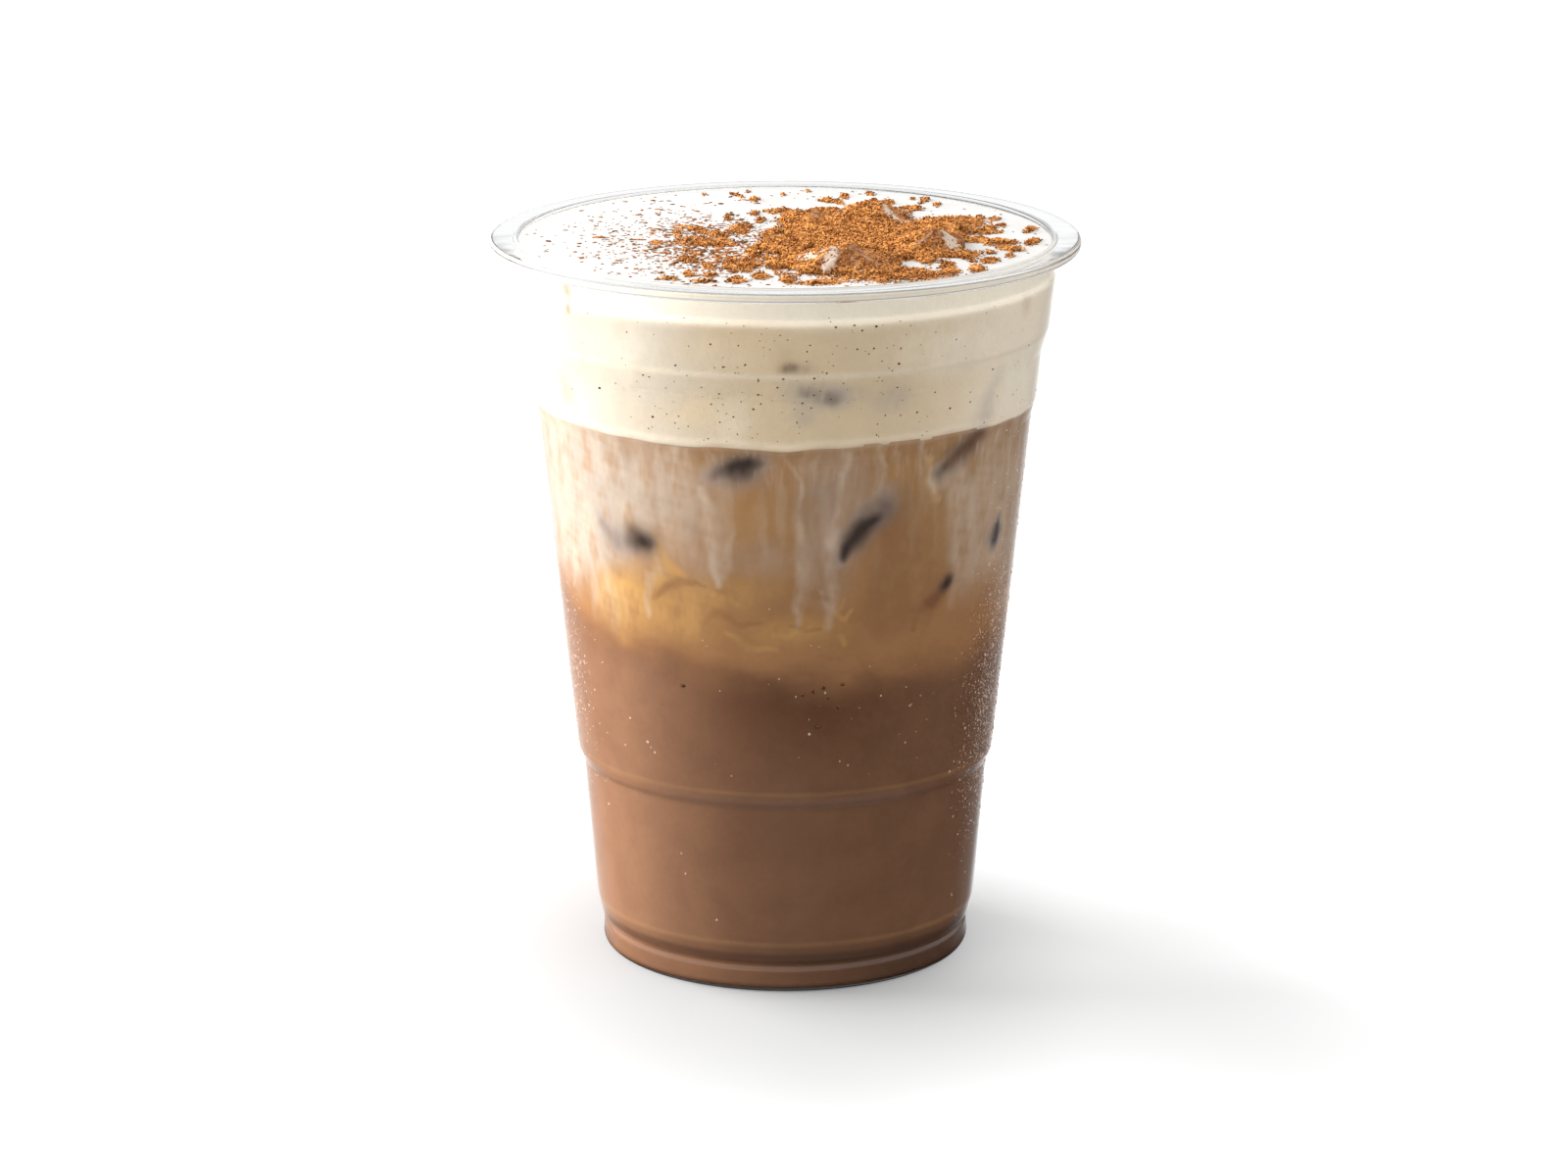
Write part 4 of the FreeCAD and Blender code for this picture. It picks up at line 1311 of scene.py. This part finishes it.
@dataclass
class CinnamonHeap:
    """Ground cinnamon: the heap, broken islands round it, and loose grains."""

    spacing: float = 0.33         # mm between the points of the powder's skin
    grain_count: int = 22000
    speck_counts: tuple[int, int, int] = (520, 1500, 260)     # far out, near the heap and anywhere
    seed: int = 3
    finish: Cinnamon = field(default_factory=Cinnamon)

    SPAN = ((-24.0, 43.0), (-40.0, 44.0))         # x and y between which powder may lie
    HEAP_SPAN = ((-10.0, 35.0), (-34.0, 26.0))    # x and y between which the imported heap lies
    DRIFTS = (                    # patches of powder on the foam
        (14, -2, 15, 16), (15, 16, 6, 11), (3, 14, 4.5, 8), (28, 13, 5.5, 5), (16, -28, 10, 8),
        (25, -14, 6, 8), (1, -22, 5, 8), (-7, -22.5, 3.6, 5.5), (33.5, -4, 4.5, 3, -12),
        (36.8, -9.5, 2.4, 2, -50), (32.5, 5, 3, 2), (7, 23, 3, 3), (-0.5, 23, 2.6, 2.6, 35),
        (-7.5, 7.5, 1.9, 5, -8), (-13, -4, 5.5, 3.4, -35), (-14.5, 6, 1.2, 5, 30), (-3, -8, 2.6, 4.2, 12),
        (-2.5, 3.5, 1.3, 5, -14), (-11.5, 2.5, 1.5, 3, 20), (-15.5, -19, 1.8, 2.6), (-12.5, -24, 1, 3, 15),
        (-8, -35, 1.6, 2.8), (-4, -31.5, 1.3, 2.6), (0.5, -34.5, 1.3, 2.8), (5.5, -36.5, 3.6, 2),
        (-12, -30.6, 1.2, 1.4), (-12.8, -35.8, 2.2, 1.2, -20), (-18.6, -33.4, 1.6, 1.1, -30),
        (-15.4, -30, 0.9, 2), (33, -19, 1.6, 2.2), (33.2, -12.8, 1.2, 1.2), (26, -26, 1.7, 4),
        (31, -25.5, 1.4, 2.8), (36.5, -15, 0.8, 1.6), (41, 7.5, 0.9, 3.2, -18), (40.8, -3.6, 0.9, 3.2, -18),
        (36.3, 10.2, 0.8, 1.4), (32.8, 17.2, 0.9, 1.6), (35.3, 16.4, 0.8, 1.6), (34, 8, 1.2, 2),
        (21.6, 26.2, 1.8, 2.4), (17.7, 31, 0.9, 1.8), (26, 29.5, 0.6, 1.8), (24.4, 35.5, 0.8, 5, -14),
        (7.6, 33.2, 1.8, 2.2, 30), (9.2, 30.8, 0.7, 1.8, 20), (14.8, 39.8, 0.8, 2), (10.2, 37, 0.6, 2.8, 5),
        (-5.3, 34, 0.7, 2.2), (-8.4, 38, 0.6, 2.8, 25), (-5.2, 21.5, 0.6, 2.6), (-9.5, 17.5, 0.7, 3.6),
        (-4, 15, 0.8, 2.6), (40.8, 28.6, 0.7, 2.4, -20), (-18, 4.5, 0.7, 1.5), (-17.6, 1.4, 0.6, 1.4),
        (-21.5, -4, 0.5, 2, 8), (-16, -12, 0.5, 2.4, 25), (-14, -14.5, 0.5, 2, 25),
        (-9.5, -13, 0.9, 3.4, -35), (-5, -14, 1.4, 2.4, 20), (-6.6, 42.6, 0.5, 1.6), (4, 42, 0.4, 1.2),
        (-13.8, 38.6, 0.35, 1.4), (-0.4, 38.6, 0.35, 1.6), (21.9, 35.2, 0.4, 1.5),
    )
    GAPS = (
        (4, -13, 1.1, 6, -8), (-1.6, -1, 1.6, 3.4, -20), (-3.4, 8.5, 1.5, 6, -12), (8.6, 22, 1.4, 3),
        (9.6, 17, 1, 5), (-1.8, 18, 1, 4, -20), (20.4, -23, 1.6, 3.6), (30.5, -9, 2.4, 3.4, -20),
        (30, 1, 3.2, 1.1, -10), (23.5, 19.5, 2, 2), (3.5, -33, 1, 3), (-6.2, -5, 2, 2), (-3, -27.5, 1, 3, 15),
        (10.6, 24, 1.3, 4), (24, -24.5, 0.8, 4, -10), (28.5, -22, 1, 4), (-9, -11, 2, 3),
        (20.8, -24.5, 3, 2.2, -8), (26.5, -18.5, 2.6, 1.2, -15), (0.5, -27, 1.6, 2.2),
        (-1, -16.5, 1.6, 2.6, 10), (33, 0.5, 3.4, 1, -8), (31, -6, 3, 1.6, -12),
    )
    BARE = (                      # foam that shows on the peaks
        (4, -25, 2.6, 2.2), (7.2, -28, 1.1, 3, -20), (27.2, -11.6, 1.5, 3.6, 25), (17.8, 12.6, 1.2, 3, 30),
        (19.8, 9.6, 0.9, 2.4, 35),
    )
    SHADED_FACES = (                    # painted shade: thin, dark powder on the peaks' far faces, away from the lamp
        (11.6, -27, 4.4, 3.2, -8), (24.6, -12.6, 2.2, 3), (28.6, -8, 2.4, 1.8, -20), (20, 12, 3, 3.6, 30),
        (5, 12, 1.8, 2.4),
    )
    PEAKS = ((15.5, 15.5), (9.5, -26), (24.5, -10.5), (3.5, 13), (29, 4))

    def ridges(self, x: Array, y: Array) -> Array:
        """Narrow ridges that run down from the peaks, from -1 to 1.

        Args:
            x: x of the places in mm.
            y: y of the places in mm.

        Returns:
            The ridges' height at each place.
        """
        nearest, value = np.full(x.shape, np.inf), np.zeros(x.shape)
        for peak_x, peak_y in self.PEAKS:
            away = np.hypot(x - peak_x, y - peak_y)
            turn = np.arctan2(y - peak_y, x - peak_x) + 0.05 * away
            mine = lumps(5.0 * np.cos(turn), 5.0 * np.sin(turn), 1.1, 71) * smooth(away, 0.2, 1.6)
            value = np.where(away < nearest, mine, value)
            nearest = np.minimum(away, nearest)
        return value

    def field_of(self, x: Array, y: Array) -> Array:
        """How surely powder covers each place: more than 0 is covered.

        Args:
            x: x of the places in mm.
            y: y of the places in mm.

        Returns:
            The field at each place.
        """
        drifts = patches(self.DRIFTS, x, y)
        rough = 0.26 * lumps(x, y, 2.0, 41) + 0.42 * lumps(x, y, 0.75, 42)
        rough += smooth(-x, 1.0, 8.0) * (0.7 * lumps(0.35 * x, y, 0.8, 43) - 0.16)
        return np.where(drifts > 0.08, drifts - 1.1 * patches(self.GAPS, x, y) - 0.45 + rough, -1.0)

    def heap_top(self, gx: Array, gy: Array, asked: Array) -> Array:
        """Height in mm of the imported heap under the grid's asked points, and nan beside it.

        Args:
            gx: x of the grid's points in mm.
            gy: y of the grid's points in mm.
            asked: which points are looked up.

        Returns:
            The height at each point.
        """
        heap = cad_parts["cinnamon_heap"].data
        tree = BVHTree.FromPolygons([v.co for v in heap.vertices], [p.vertices for p in heap.polygons])
        top = np.full(gx.shape, np.nan)
        for i, j in zip(*np.nonzero(asked)):
            hit = tree.ray_cast(Vector((gx[i, j] * MM, gy[i, j] * MM, 0.2)), Vector((0.0, 0.0, -1.0)))[0]
            if hit is not None:
                top[i, j] = hit.z / MM
        return top

    def build(self) -> None:
        """Make the heap, the islands and the grains."""
        rng = np.random.default_rng(self.seed)
        material = self.finish.build()
        step = self.spacing
        gx, gy = np.meshgrid(*(np.arange(*span, step) for span in self.SPAN), indexing="ij")
        gx = gx + rng.uniform(-0.3, 0.3, gx.shape) * step
        gy = gy + rng.uniform(-0.3, 0.3, gy.shape) * step
        sure = self.field_of(gx, gy) + rng.normal(0.0, 0.05, gx.shape)
        sure[np.hypot(gx, gy) > FOAM_REACH] = -1.0
        (left, right), (front, back) = self.HEAP_SPAN
        asked = (sure > -0.9) & (gx > left) & (gx < right) & (gy > front) & (gy < back)
        heap_top, foam = self.heap_top(gx, gy, asked), foam_top(gx, gy)
        inside = ~np.isnan(heap_top)
        body = np.where(inside, heap_top - foam, 0.0)
        tall = smooth(body, 0.6, 1.2)
        ridge = self.ridges(gx, gy)
        sure = np.maximum(sure, 2.0 * tall - 1.0)
        slope = np.hypot(*np.gradient(np.where(inside, heap_top, FOAM_LEVEL + 0.4), step))
        # steep faces get the thin, darker powder, and the peaks' far faces get it as painted shade
        steep = np.maximum(smooth(slope, 0.42, 0.75), patches(self.SHADED_FACES, gx, gy)) * inside
        edge = smooth(sure, 0.0, 0.38)
        relief = 0.13 * lumps(gx, gy, 3.2, 51) + 0.06 * lumps(gx, gy, 1.1, 52)
        grit = rng.normal(0.0, 0.05, gx.shape)
        thick = np.where(inside, 0.16 + (body - 0.16) * np.maximum(edge, tall), 0.07 + 0.18 * edge)
        rough = (relief + grit) * (1.0 - 0.8 * steep) * (0.4 + 0.6 * edge)
        rough += 0.22 * ridge * smooth(body, 0.6, 2.0)
        height = foam + np.maximum(thick + rough, 0.06)
        bare = patches(self.BARE, gx, gy) + 0.35 * ridge + 0.25 * lumps(gx, gy, 0.9, 61)
        values = {"thin": 0.9 * steep * smooth(ridge + 0.5 * lumps(gx, gy, 0.8, 62), -0.9, 0.2),
                  "streak": 0.9 * smooth(ridge + 0.4 * lumps(gx, gy, 0.7, 63), 0.05, 0.75),
                  "bare": 0.85 * smooth(bare, 0.4, 0.75)}
        grid = np.stack([gx, gy, height], axis=-1)
        covered = sure > 0.0
        mound = self.powder("cinnamon_mound", grid, covered & inside, values)
        heap = new_piece(mound, material)
        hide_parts("cinnamon_heap")
        islands = self.powder("cinnamon_islands", grid, covered & ~inside, values)
        new_piece(islands, material)
        new_piece(self.grains(rng, grid, sure, steep), material)
        self.specks(rng)

    def powder(self, name: str, grid: Array, covered: Array, values: dict[str, Array]) -> bpy.types.Mesh:
        """Make a closed skin over the covered part of the grid.

        Args:
            name: the mesh's name.
            grid: places in mm of the powder's top.
            covered: which of them powder covers.
            values: numbers carried at them.

        Returns:
            The mesh.
        """
        cell = covered[:-1, :-1] & covered[1:, :-1] & covered[1:, 1:] & covered[:-1, 1:]
        index = np.arange(covered.size).reshape(covered.shape)
        around = (index[:-1, :-1], index[1:, :-1], index[1:, 1:], index[:-1, 1:])
        corners = np.stack([part[cell] for part in around], axis=1)
        used, faces = np.unique(corners, return_inverse=True)
        bm = bmesh.new()
        layers = {key: bm.verts.layers.float.new(key) for key in values}
        verts = [bm.verts.new(p) for p in (grid.reshape(-1, 3)[used] * MM).tolist()]
        for key, layer in layers.items():
            for vert, value in zip(verts, values[key].ravel()[used].tolist()):
                vert[layer] = value
        made = [bm.faces.new([verts[i] for i in face]) for face in faces.reshape(corners.shape).tolist()]
        for vert in bmesh.ops.extrude_face_region(bm, geom=made, use_keep_orig=True)["geom"]:
            if isinstance(vert, bmesh.types.BMVert):
                vert.co.z = (FOAM_LEVEL - 0.35) * MM
        bmesh.ops.recalc_face_normals(bm, faces=bm.faces)
        return as_mesh(name, bm)

    def grains(self, rng: np.random.Generator, grid: Array, sure: Array, steep: Array) -> bpy.types.Mesh:
        """Scatter loose grains over the powder and just beyond its edges.

        Args:
            rng: seeded random numbers.
            grid: places in mm of the powder's top.
            sure: how surely powder covers them.
            steep: how steep the powder is there, from 0 to 1.

        Returns:
            The grains, joined.
        """
        gx, gy, height = grid.reshape(-1, 3).T
        sure, steep = sure.ravel(), steep.ravel()
        odds = np.where(sure > 0.0, 1.0 - 0.9 * steep, 1.6 * smooth(sure, -0.6, 0.0))
        odds[np.hypot(gx, gy) > FOAM_REACH - 0.2] = 0.0
        picks = rng.choice(len(gx), size=self.grain_count, p=odds / odds.sum())
        top = np.where(sure > 0.0, height, foam_top(gx, gy))[picks]
        sizes = (0.05 + rng.gamma(2.0, 0.045, (len(picks), 1))) * rng.uniform(0.6, 1.4, (len(picks), 3))
        places = np.stack([gx[picks] + rng.uniform(-0.2, 0.2, len(picks)),
                           gy[picks] + rng.uniform(-0.2, 0.2, len(picks)), top + 0.05], axis=1)
        return joined_copies("cinnamon_grains", crumb(), turned_sizes(rng, sizes), places)

    def specks(self, rng: np.random.Generator) -> None:
        """Sprinkle fine specks over the bare foam, thickest towards the heap.

        Args:
            rng: seeded random numbers.
        """
        far, near, other = self.speck_counts
        spots = np.concatenate([
            np.column_stack([-14.0 - np.abs(rng.normal(0.0, 12.0, far)), rng.normal(-5.0, 17.0, far)]),
            np.column_stack([rng.normal(-12.0, 5.5, near), rng.normal(-8.0, 14.0, near)]),
            np.column_stack([rng.uniform(-30.0, 43.0, other), rng.uniform(-42.0, 44.0, other)])])
        spots = spots[np.hypot(*spots.T) < FOAM_REACH + 0.4]
        count = len(spots)
        length = rng.gamma(2.0, 0.085, count) + 0.07
        sizes = np.stack([length * rng.uniform(0.8, 2.0, count), length * rng.uniform(0.7, 1.2, count),
                          np.full(count, 0.07)], axis=1)
        turn = rng.uniform(0.0, math.pi, count)
        cos, sin = np.cos(turn), np.sin(turn)
        turns = stretched(sizes, cos, -sin, 0.0, sin, cos, 0.0, 0.0, 0.0, 1.0)
        places = np.column_stack([spots, foam_top(*spots.T) + 0.02])
        finish = replace(self.finish, name="loose_cinnamon", bright=(0.42, 0.15, 0.035),
                         middle=(0.17, 0.055, 0.014), dark=(0.05, 0.018, 0.008))
        new_piece(joined_copies("cinnamon_specks", pebble(), turns, places), finish.build())


@dataclass
class WallSpecks:
    """Grains of spice caught between the drink and the wall."""

    seed: int = 14
    count: int = 300
    finish: Cinnamon = field(default_factory=lambda: Cinnamon(
        "wet_spice", bright=(0.16, 0.070, 0.028), middle=(0.10, 0.042, 0.017), dark=(0.05, 0.022, 0.011)))

    MOCHA_SPOTS = (               # azimuth, height and size in mm
        (7, 53.6, 0.3), (9.6, 54.2, 0.34), (11, 52.4, 0.26), (4.4, 53, 0.26), (8.4, 47.5, 0.34),
        (6.4, 46, 0.26), (13.6, 50.6, 0.26), (14.6, 54.6, 0.28), (-27, 53.6, 0.34),
    )

    def build(self) -> None:
        """Make the specks."""
        rng = np.random.default_rng(self.seed)
        half = self.count // 2
        azimuth = np.concatenate([rng.normal(0.0, 24.0, half), rng.uniform(-180.0, 180.0, half)])
        height = rng.uniform(96.0, 117.0, len(azimuth))
        size = rng.gamma(2.5, 0.024, len(azimuth)) + 0.05
        spots = np.concatenate([np.stack([azimuth, height, size]), np.array(self.MOCHA_SPOTS).T], axis=1)
        azimuth, height, size = np.radians(spots[0]), spots[1], spots[2]
        sizes = np.stack([np.full(len(size), 0.05), size * rng.uniform(0.8, 1.6, len(size)), size], axis=1)
        places = on_wall(azimuth, height, WALL.inner(height) + BITE + 0.03)
        mesh = joined_copies("spice_specks", pebble(), facing_out(azimuth, sizes), places)
        new_piece(mesh, self.finish.build())


# --- Water on the outside ---
@dataclass
class Condensation:
    """Fine beads of water on the outside of the cup, mostly towards its sides."""

    seed: int = 17
    finish: Water = field(default_factory=Water)

    MISTS = (                     # azimuth, height, spread in degrees, rise in mm, count and size in mm
        (-70, 50, 5, 9, 240, 0.14), (-82, 48, 8, 10, 260, 0.15), (-97, 50, 10, 11, 260, 0.15),
        (-120, 48, 14, 11, 260, 0.14), (62, 48, 5, 12, 520, 0.11), (69, 46, 4, 12, 820, 0.13),
        (76, 45, 5, 11, 560, 0.16), (87, 47, 8, 13, 420, 0.15), (102, 48, 11, 13, 320, 0.14),
        (122, 48, 14, 12, 260, 0.13), (73, 62, 5, 3, 110, 0.18), (74, 82, 8, 9, 200, 0.15),
        (10, 50, 30, 8, 50, 0.11), (180, 50, 30, 12, 220, 0.12),
    )
    DROPS = (                     # azimuth, height and size in mm
        (-39.1, 42.5, 0.24), (-36.9, 40.9, 0.2), (-38.1, 41.6, 0.15), (-47.8, 40.8, 0.17), (25, 52, 0.2),
        (-30, 20, 0.18), (-31, 23.5, 0.16), (-20.5, 12.5, 0.17),
    )

    def build(self) -> None:
        """Make the beads."""
        rng = np.random.default_rng(self.seed)
        azimuth = [rng.normal(at, spread, count) for at, _, spread, _, count, _ in self.MISTS]
        height = [rng.normal(at, rise, count) for _, at, _, rise, count, _ in self.MISTS]
        size = [mean * rng.lognormal(-0.1, 0.35, count) for *_, count, mean in self.MISTS]
        azimuth, height, size = (np.concatenate([*beads, drops]) for beads, drops in
                                 zip((azimuth, height, size), np.array(self.DROPS).T))
        azimuth, height, size = np.radians(azimuth), np.clip(height, 7.0, 112.0), np.minimum(size, 0.42)
        sizes = np.stack([0.45 * size, size, size * rng.uniform(0.9, 1.3, len(size))], axis=1)
        places = on_wall(azimuth, height, WALL.outer(height) - 0.02)
        mesh = joined_copies("water_beads", pebble(), facing_out(azimuth, sizes), places)
        new_piece(mesh, self.finish.build())


# --- Studio ---
@dataclass
class Studio:
    """White surroundings, a large soft lamp on the left, and the camera. Lengths in metres."""

    key_azimuth: float = -110.0
    key_elevation: float = 18.0
    key_distance: float = 1.1
    key_target: float = 0.07      # height that the lamp looks at
    key_width: float = 1.0
    key_height: float = 0.7
    key_power: float = 34.0
    sky: float = 0.55             # brightness of the fill, and of its lobes
    from_left: float = 3.9
    from_right: float = 1.6
    from_above: float = 1.85
    lens: float = 117.86          # mm, as the sensor
    sensor: float = 36.0
    shift: float = -0.00084
    eye: Color = (0.0, -0.83578, 0.28534)
    look_down: float = 14.984

    def build(self) -> None:
        """Make the floor, the lamp, the surroundings and the camera."""
        self.make_floor()
        self.make_key()
        self.make_world()
        self.make_camera()
        bpy.context.scene.view_settings.view_transform = "Standard"

    def add(self, name: str, data: bpy.types.ID) -> bpy.types.Object:
        """Put an object that isn't part of the drink into the scene.

        Args:
            name: the object's name.
            data: its mesh, lamp or camera.

        Returns:
            The object.
        """
        made = bpy.data.objects.new(name, data)
        bpy.context.scene.collection.objects.link(made)
        return made

    def make_floor(self) -> None:
        """A wide white floor that shows white and keeps the cup's shadow, part of which is painted into its
        glow round the cup.
        """
        bm = bmesh.new()
        bmesh.ops.create_grid(bm, x_segments=1, y_segments=1, size=30.0)
        floor = self.add("floor", as_mesh("floor", bm))
        floor.location.z = -0.1 * MM
        material, graph, shader = Graph.surface("white_floor")
        paths = graph.node("LightPath").outputs
        away = graph.node("VectorMath", {0: graph.place()}, operation="LENGTH").outputs["Value"]
        side = graph.split(graph.place())
        x, y = side["X"], side["Y"]
        # painted shadow in front of the cup
        front = graph.math("MULTIPLY", graph.remap(y, -0.075, -0.015, 0.21, 0.0),
                           graph.remap(away, 0.11, 0.19, 1.0, 0.3), graph.remap(x, -0.03, 0.02, 0.5, 1.0))
        # painted light: a band to the right of the cup made lighter
        lit = graph.math("MULTIPLY", graph.remap(y, -0.036, -0.008, 0.0, 0.09), graph.remap(x, 0.02, 0.035),
                         graph.remap(y, 0.01, 0.04, 1.0, 0.2))
        # painted shadow: the glow low near the cup and rising away from it; painted light: more glow to the
        # right and the left
        glow = graph.math("ADD", graph.remap(away, 0.03, 0.13, 0.08, 0.50),
                          graph.remap(x, 0.0, 0.055, 0.0, 0.19), lit,
                          graph.remap(x, -0.06, -0.015, 0.12, 0.0))
        # painted shadow: the glow lowered in front of the cup and further to the right
        glow = graph.math("SUBTRACT", glow, front, graph.remap(x, 0.045, 0.085, 0.0, 0.13))
        seen = paths["Is Camera Ray"]
        graph.feed(shader, {"Roughness": 0.9, "Specular IOR Level": 0.0, "Emission Color": (1.0, 1.0, 1.0),
                            "Base Color": graph.mix(seen, (0.1, 0.1, 0.1), (0.35, 0.35, 0.35)),
                            "Emission Strength": graph.math("MULTIPLY", glow, seen)})
        incoming = graph.node("NewGeometry").outputs["Incoming"]
        back = graph.node("VectorMath", {0: incoming, "Scale": -1.0}, operation="SCALE").outputs["Vector"]
        # painted shadow: the floor dark under the cup in reflections and through the plastic
        strength = graph.math("MULTIPLY", self.seen_in_gloss(graph, back),
                              graph.remap(away, 0.0305, 0.036, 0.15, 1.0))
        white = graph.node("Emission", {"Strength": strength}).outputs["Emission"]
        gloss = graph.math("MAXIMUM", paths["Is Glossy Ray"], paths["Is Transmission Ray"])
        graph.feed(graph.output, {"Surface": graph.mix_shaders(gloss, shader.outputs["BSDF"], white)})
        floor.data.materials.append(material)

    def seen_in_gloss(self, graph: Graph, heading: Socket) -> Socket:
        """Brightness that clear and glossy surfaces show, by the direction they look in.

        Args:
            graph: the graph to add to.
            heading: the direction.

        Returns:
            White ahead, dim behind the camera, bright straight down and a little above.
        """
        side = graph.split(heading)
        ahead = graph.math("MULTIPLY", graph.remap(side["Y"], 0.45, 0.95, 0.09, 1.0),
                           graph.remap(side["X"], 0.12, 0.5, 1.0, 0.3),
                           graph.remap(side["X"], -0.12, -0.5, 1.0, 0.6))
        through = graph.math("MULTIPLY", graph.node("LightPath").outputs["Is Transmission Ray"], 0.45)
        return graph.math("MAXIMUM", ahead, through, graph.remap(side["Z"], -0.85, -0.6, 0.3, 0.0),
                          graph.remap(side["Z"], -0.25, 0.25, 0.0, 0.85))

    def make_key(self) -> None:
        """The large soft lamp."""
        lamp = bpy.data.lights.new("key", "AREA")
        lamp.shape = "RECTANGLE"
        lamp.size, lamp.size_y, lamp.energy = self.key_width, self.key_height, self.key_power
        key = self.add("key", lamp)
        azimuth, elevation = math.radians(self.key_azimuth), math.radians(self.key_elevation)
        towards = Vector((math.sin(azimuth) * math.cos(elevation), -math.cos(azimuth) * math.cos(elevation),
                          math.sin(elevation)))
        key.location = Vector((0.0, 0.0, self.key_target)) + towards * self.key_distance
        key.rotation_euler = towards.to_track_quat("Z", "Y").to_euler()
        key.visible_glossy = key.visible_transmission = False

    def make_world(self) -> None:
        """Surroundings: white behind, dimmer fill, and dim towards the front for reflections."""
        world = bpy.data.worlds.new("surroundings")
        world.use_nodes = True
        bpy.context.scene.world = world
        graph = Graph(world.node_tree)
        paths = graph.node("LightPath").outputs
        heading = graph.node("TexCoord").outputs["Generated"]
        side = graph.split(heading)
        fill = self.sky
        for axis, way, power, share in (("X", -1.0, 2.0, self.from_left), ("X", 1.0, 2.0, self.from_right),
                                        ("Z", 1.0, 4.0, self.from_above)):
            facing = graph.math("MAXIMUM", graph.math("MULTIPLY", side[axis], way), 0.0)
            fill = graph.math("ADD", fill, graph.math("MULTIPLY", graph.math("POWER", facing, power), share))
        gloss = graph.math("MAXIMUM", paths["Is Glossy Ray"], paths["Is Transmission Ray"])
        mirrored = self.seen_in_gloss(graph, heading)
        strength = graph.node("Mix", {0: gloss, 2: fill, 3: mirrored}, data_type="FLOAT").outputs[0]
        strength = graph.math("MAXIMUM", strength, paths["Is Camera Ray"])
        background = graph.node("Background", {"Color": (1.0, 1.0, 1.0), "Strength": strength})
        graph.node("OutputWorld", {"Surface": background.outputs["Background"]})

    def make_camera(self) -> None:
        """The camera, in front of the cup, above its brim and looking down on it."""
        lens = bpy.data.cameras.new("camera")
        lens.lens, lens.sensor_width, lens.shift_x = self.lens, self.sensor, self.shift
        camera = self.add("camera", lens)
        camera.location = self.eye
        camera.rotation_euler = (math.radians(90.0 - self.look_down), 0.0, 0.0)
        bpy.context.scene.camera = camera


def main() -> None:
    """Build the drink and its studio."""
    ice = Ice()
    parts = (Cup(), ice, Drink(ice), FoamCap(ice), CinnamonHeap(), WallSpecks(), Condensation(), Studio())
    for part in parts:
        part.build()


if __name__ == "__main__":
    main()
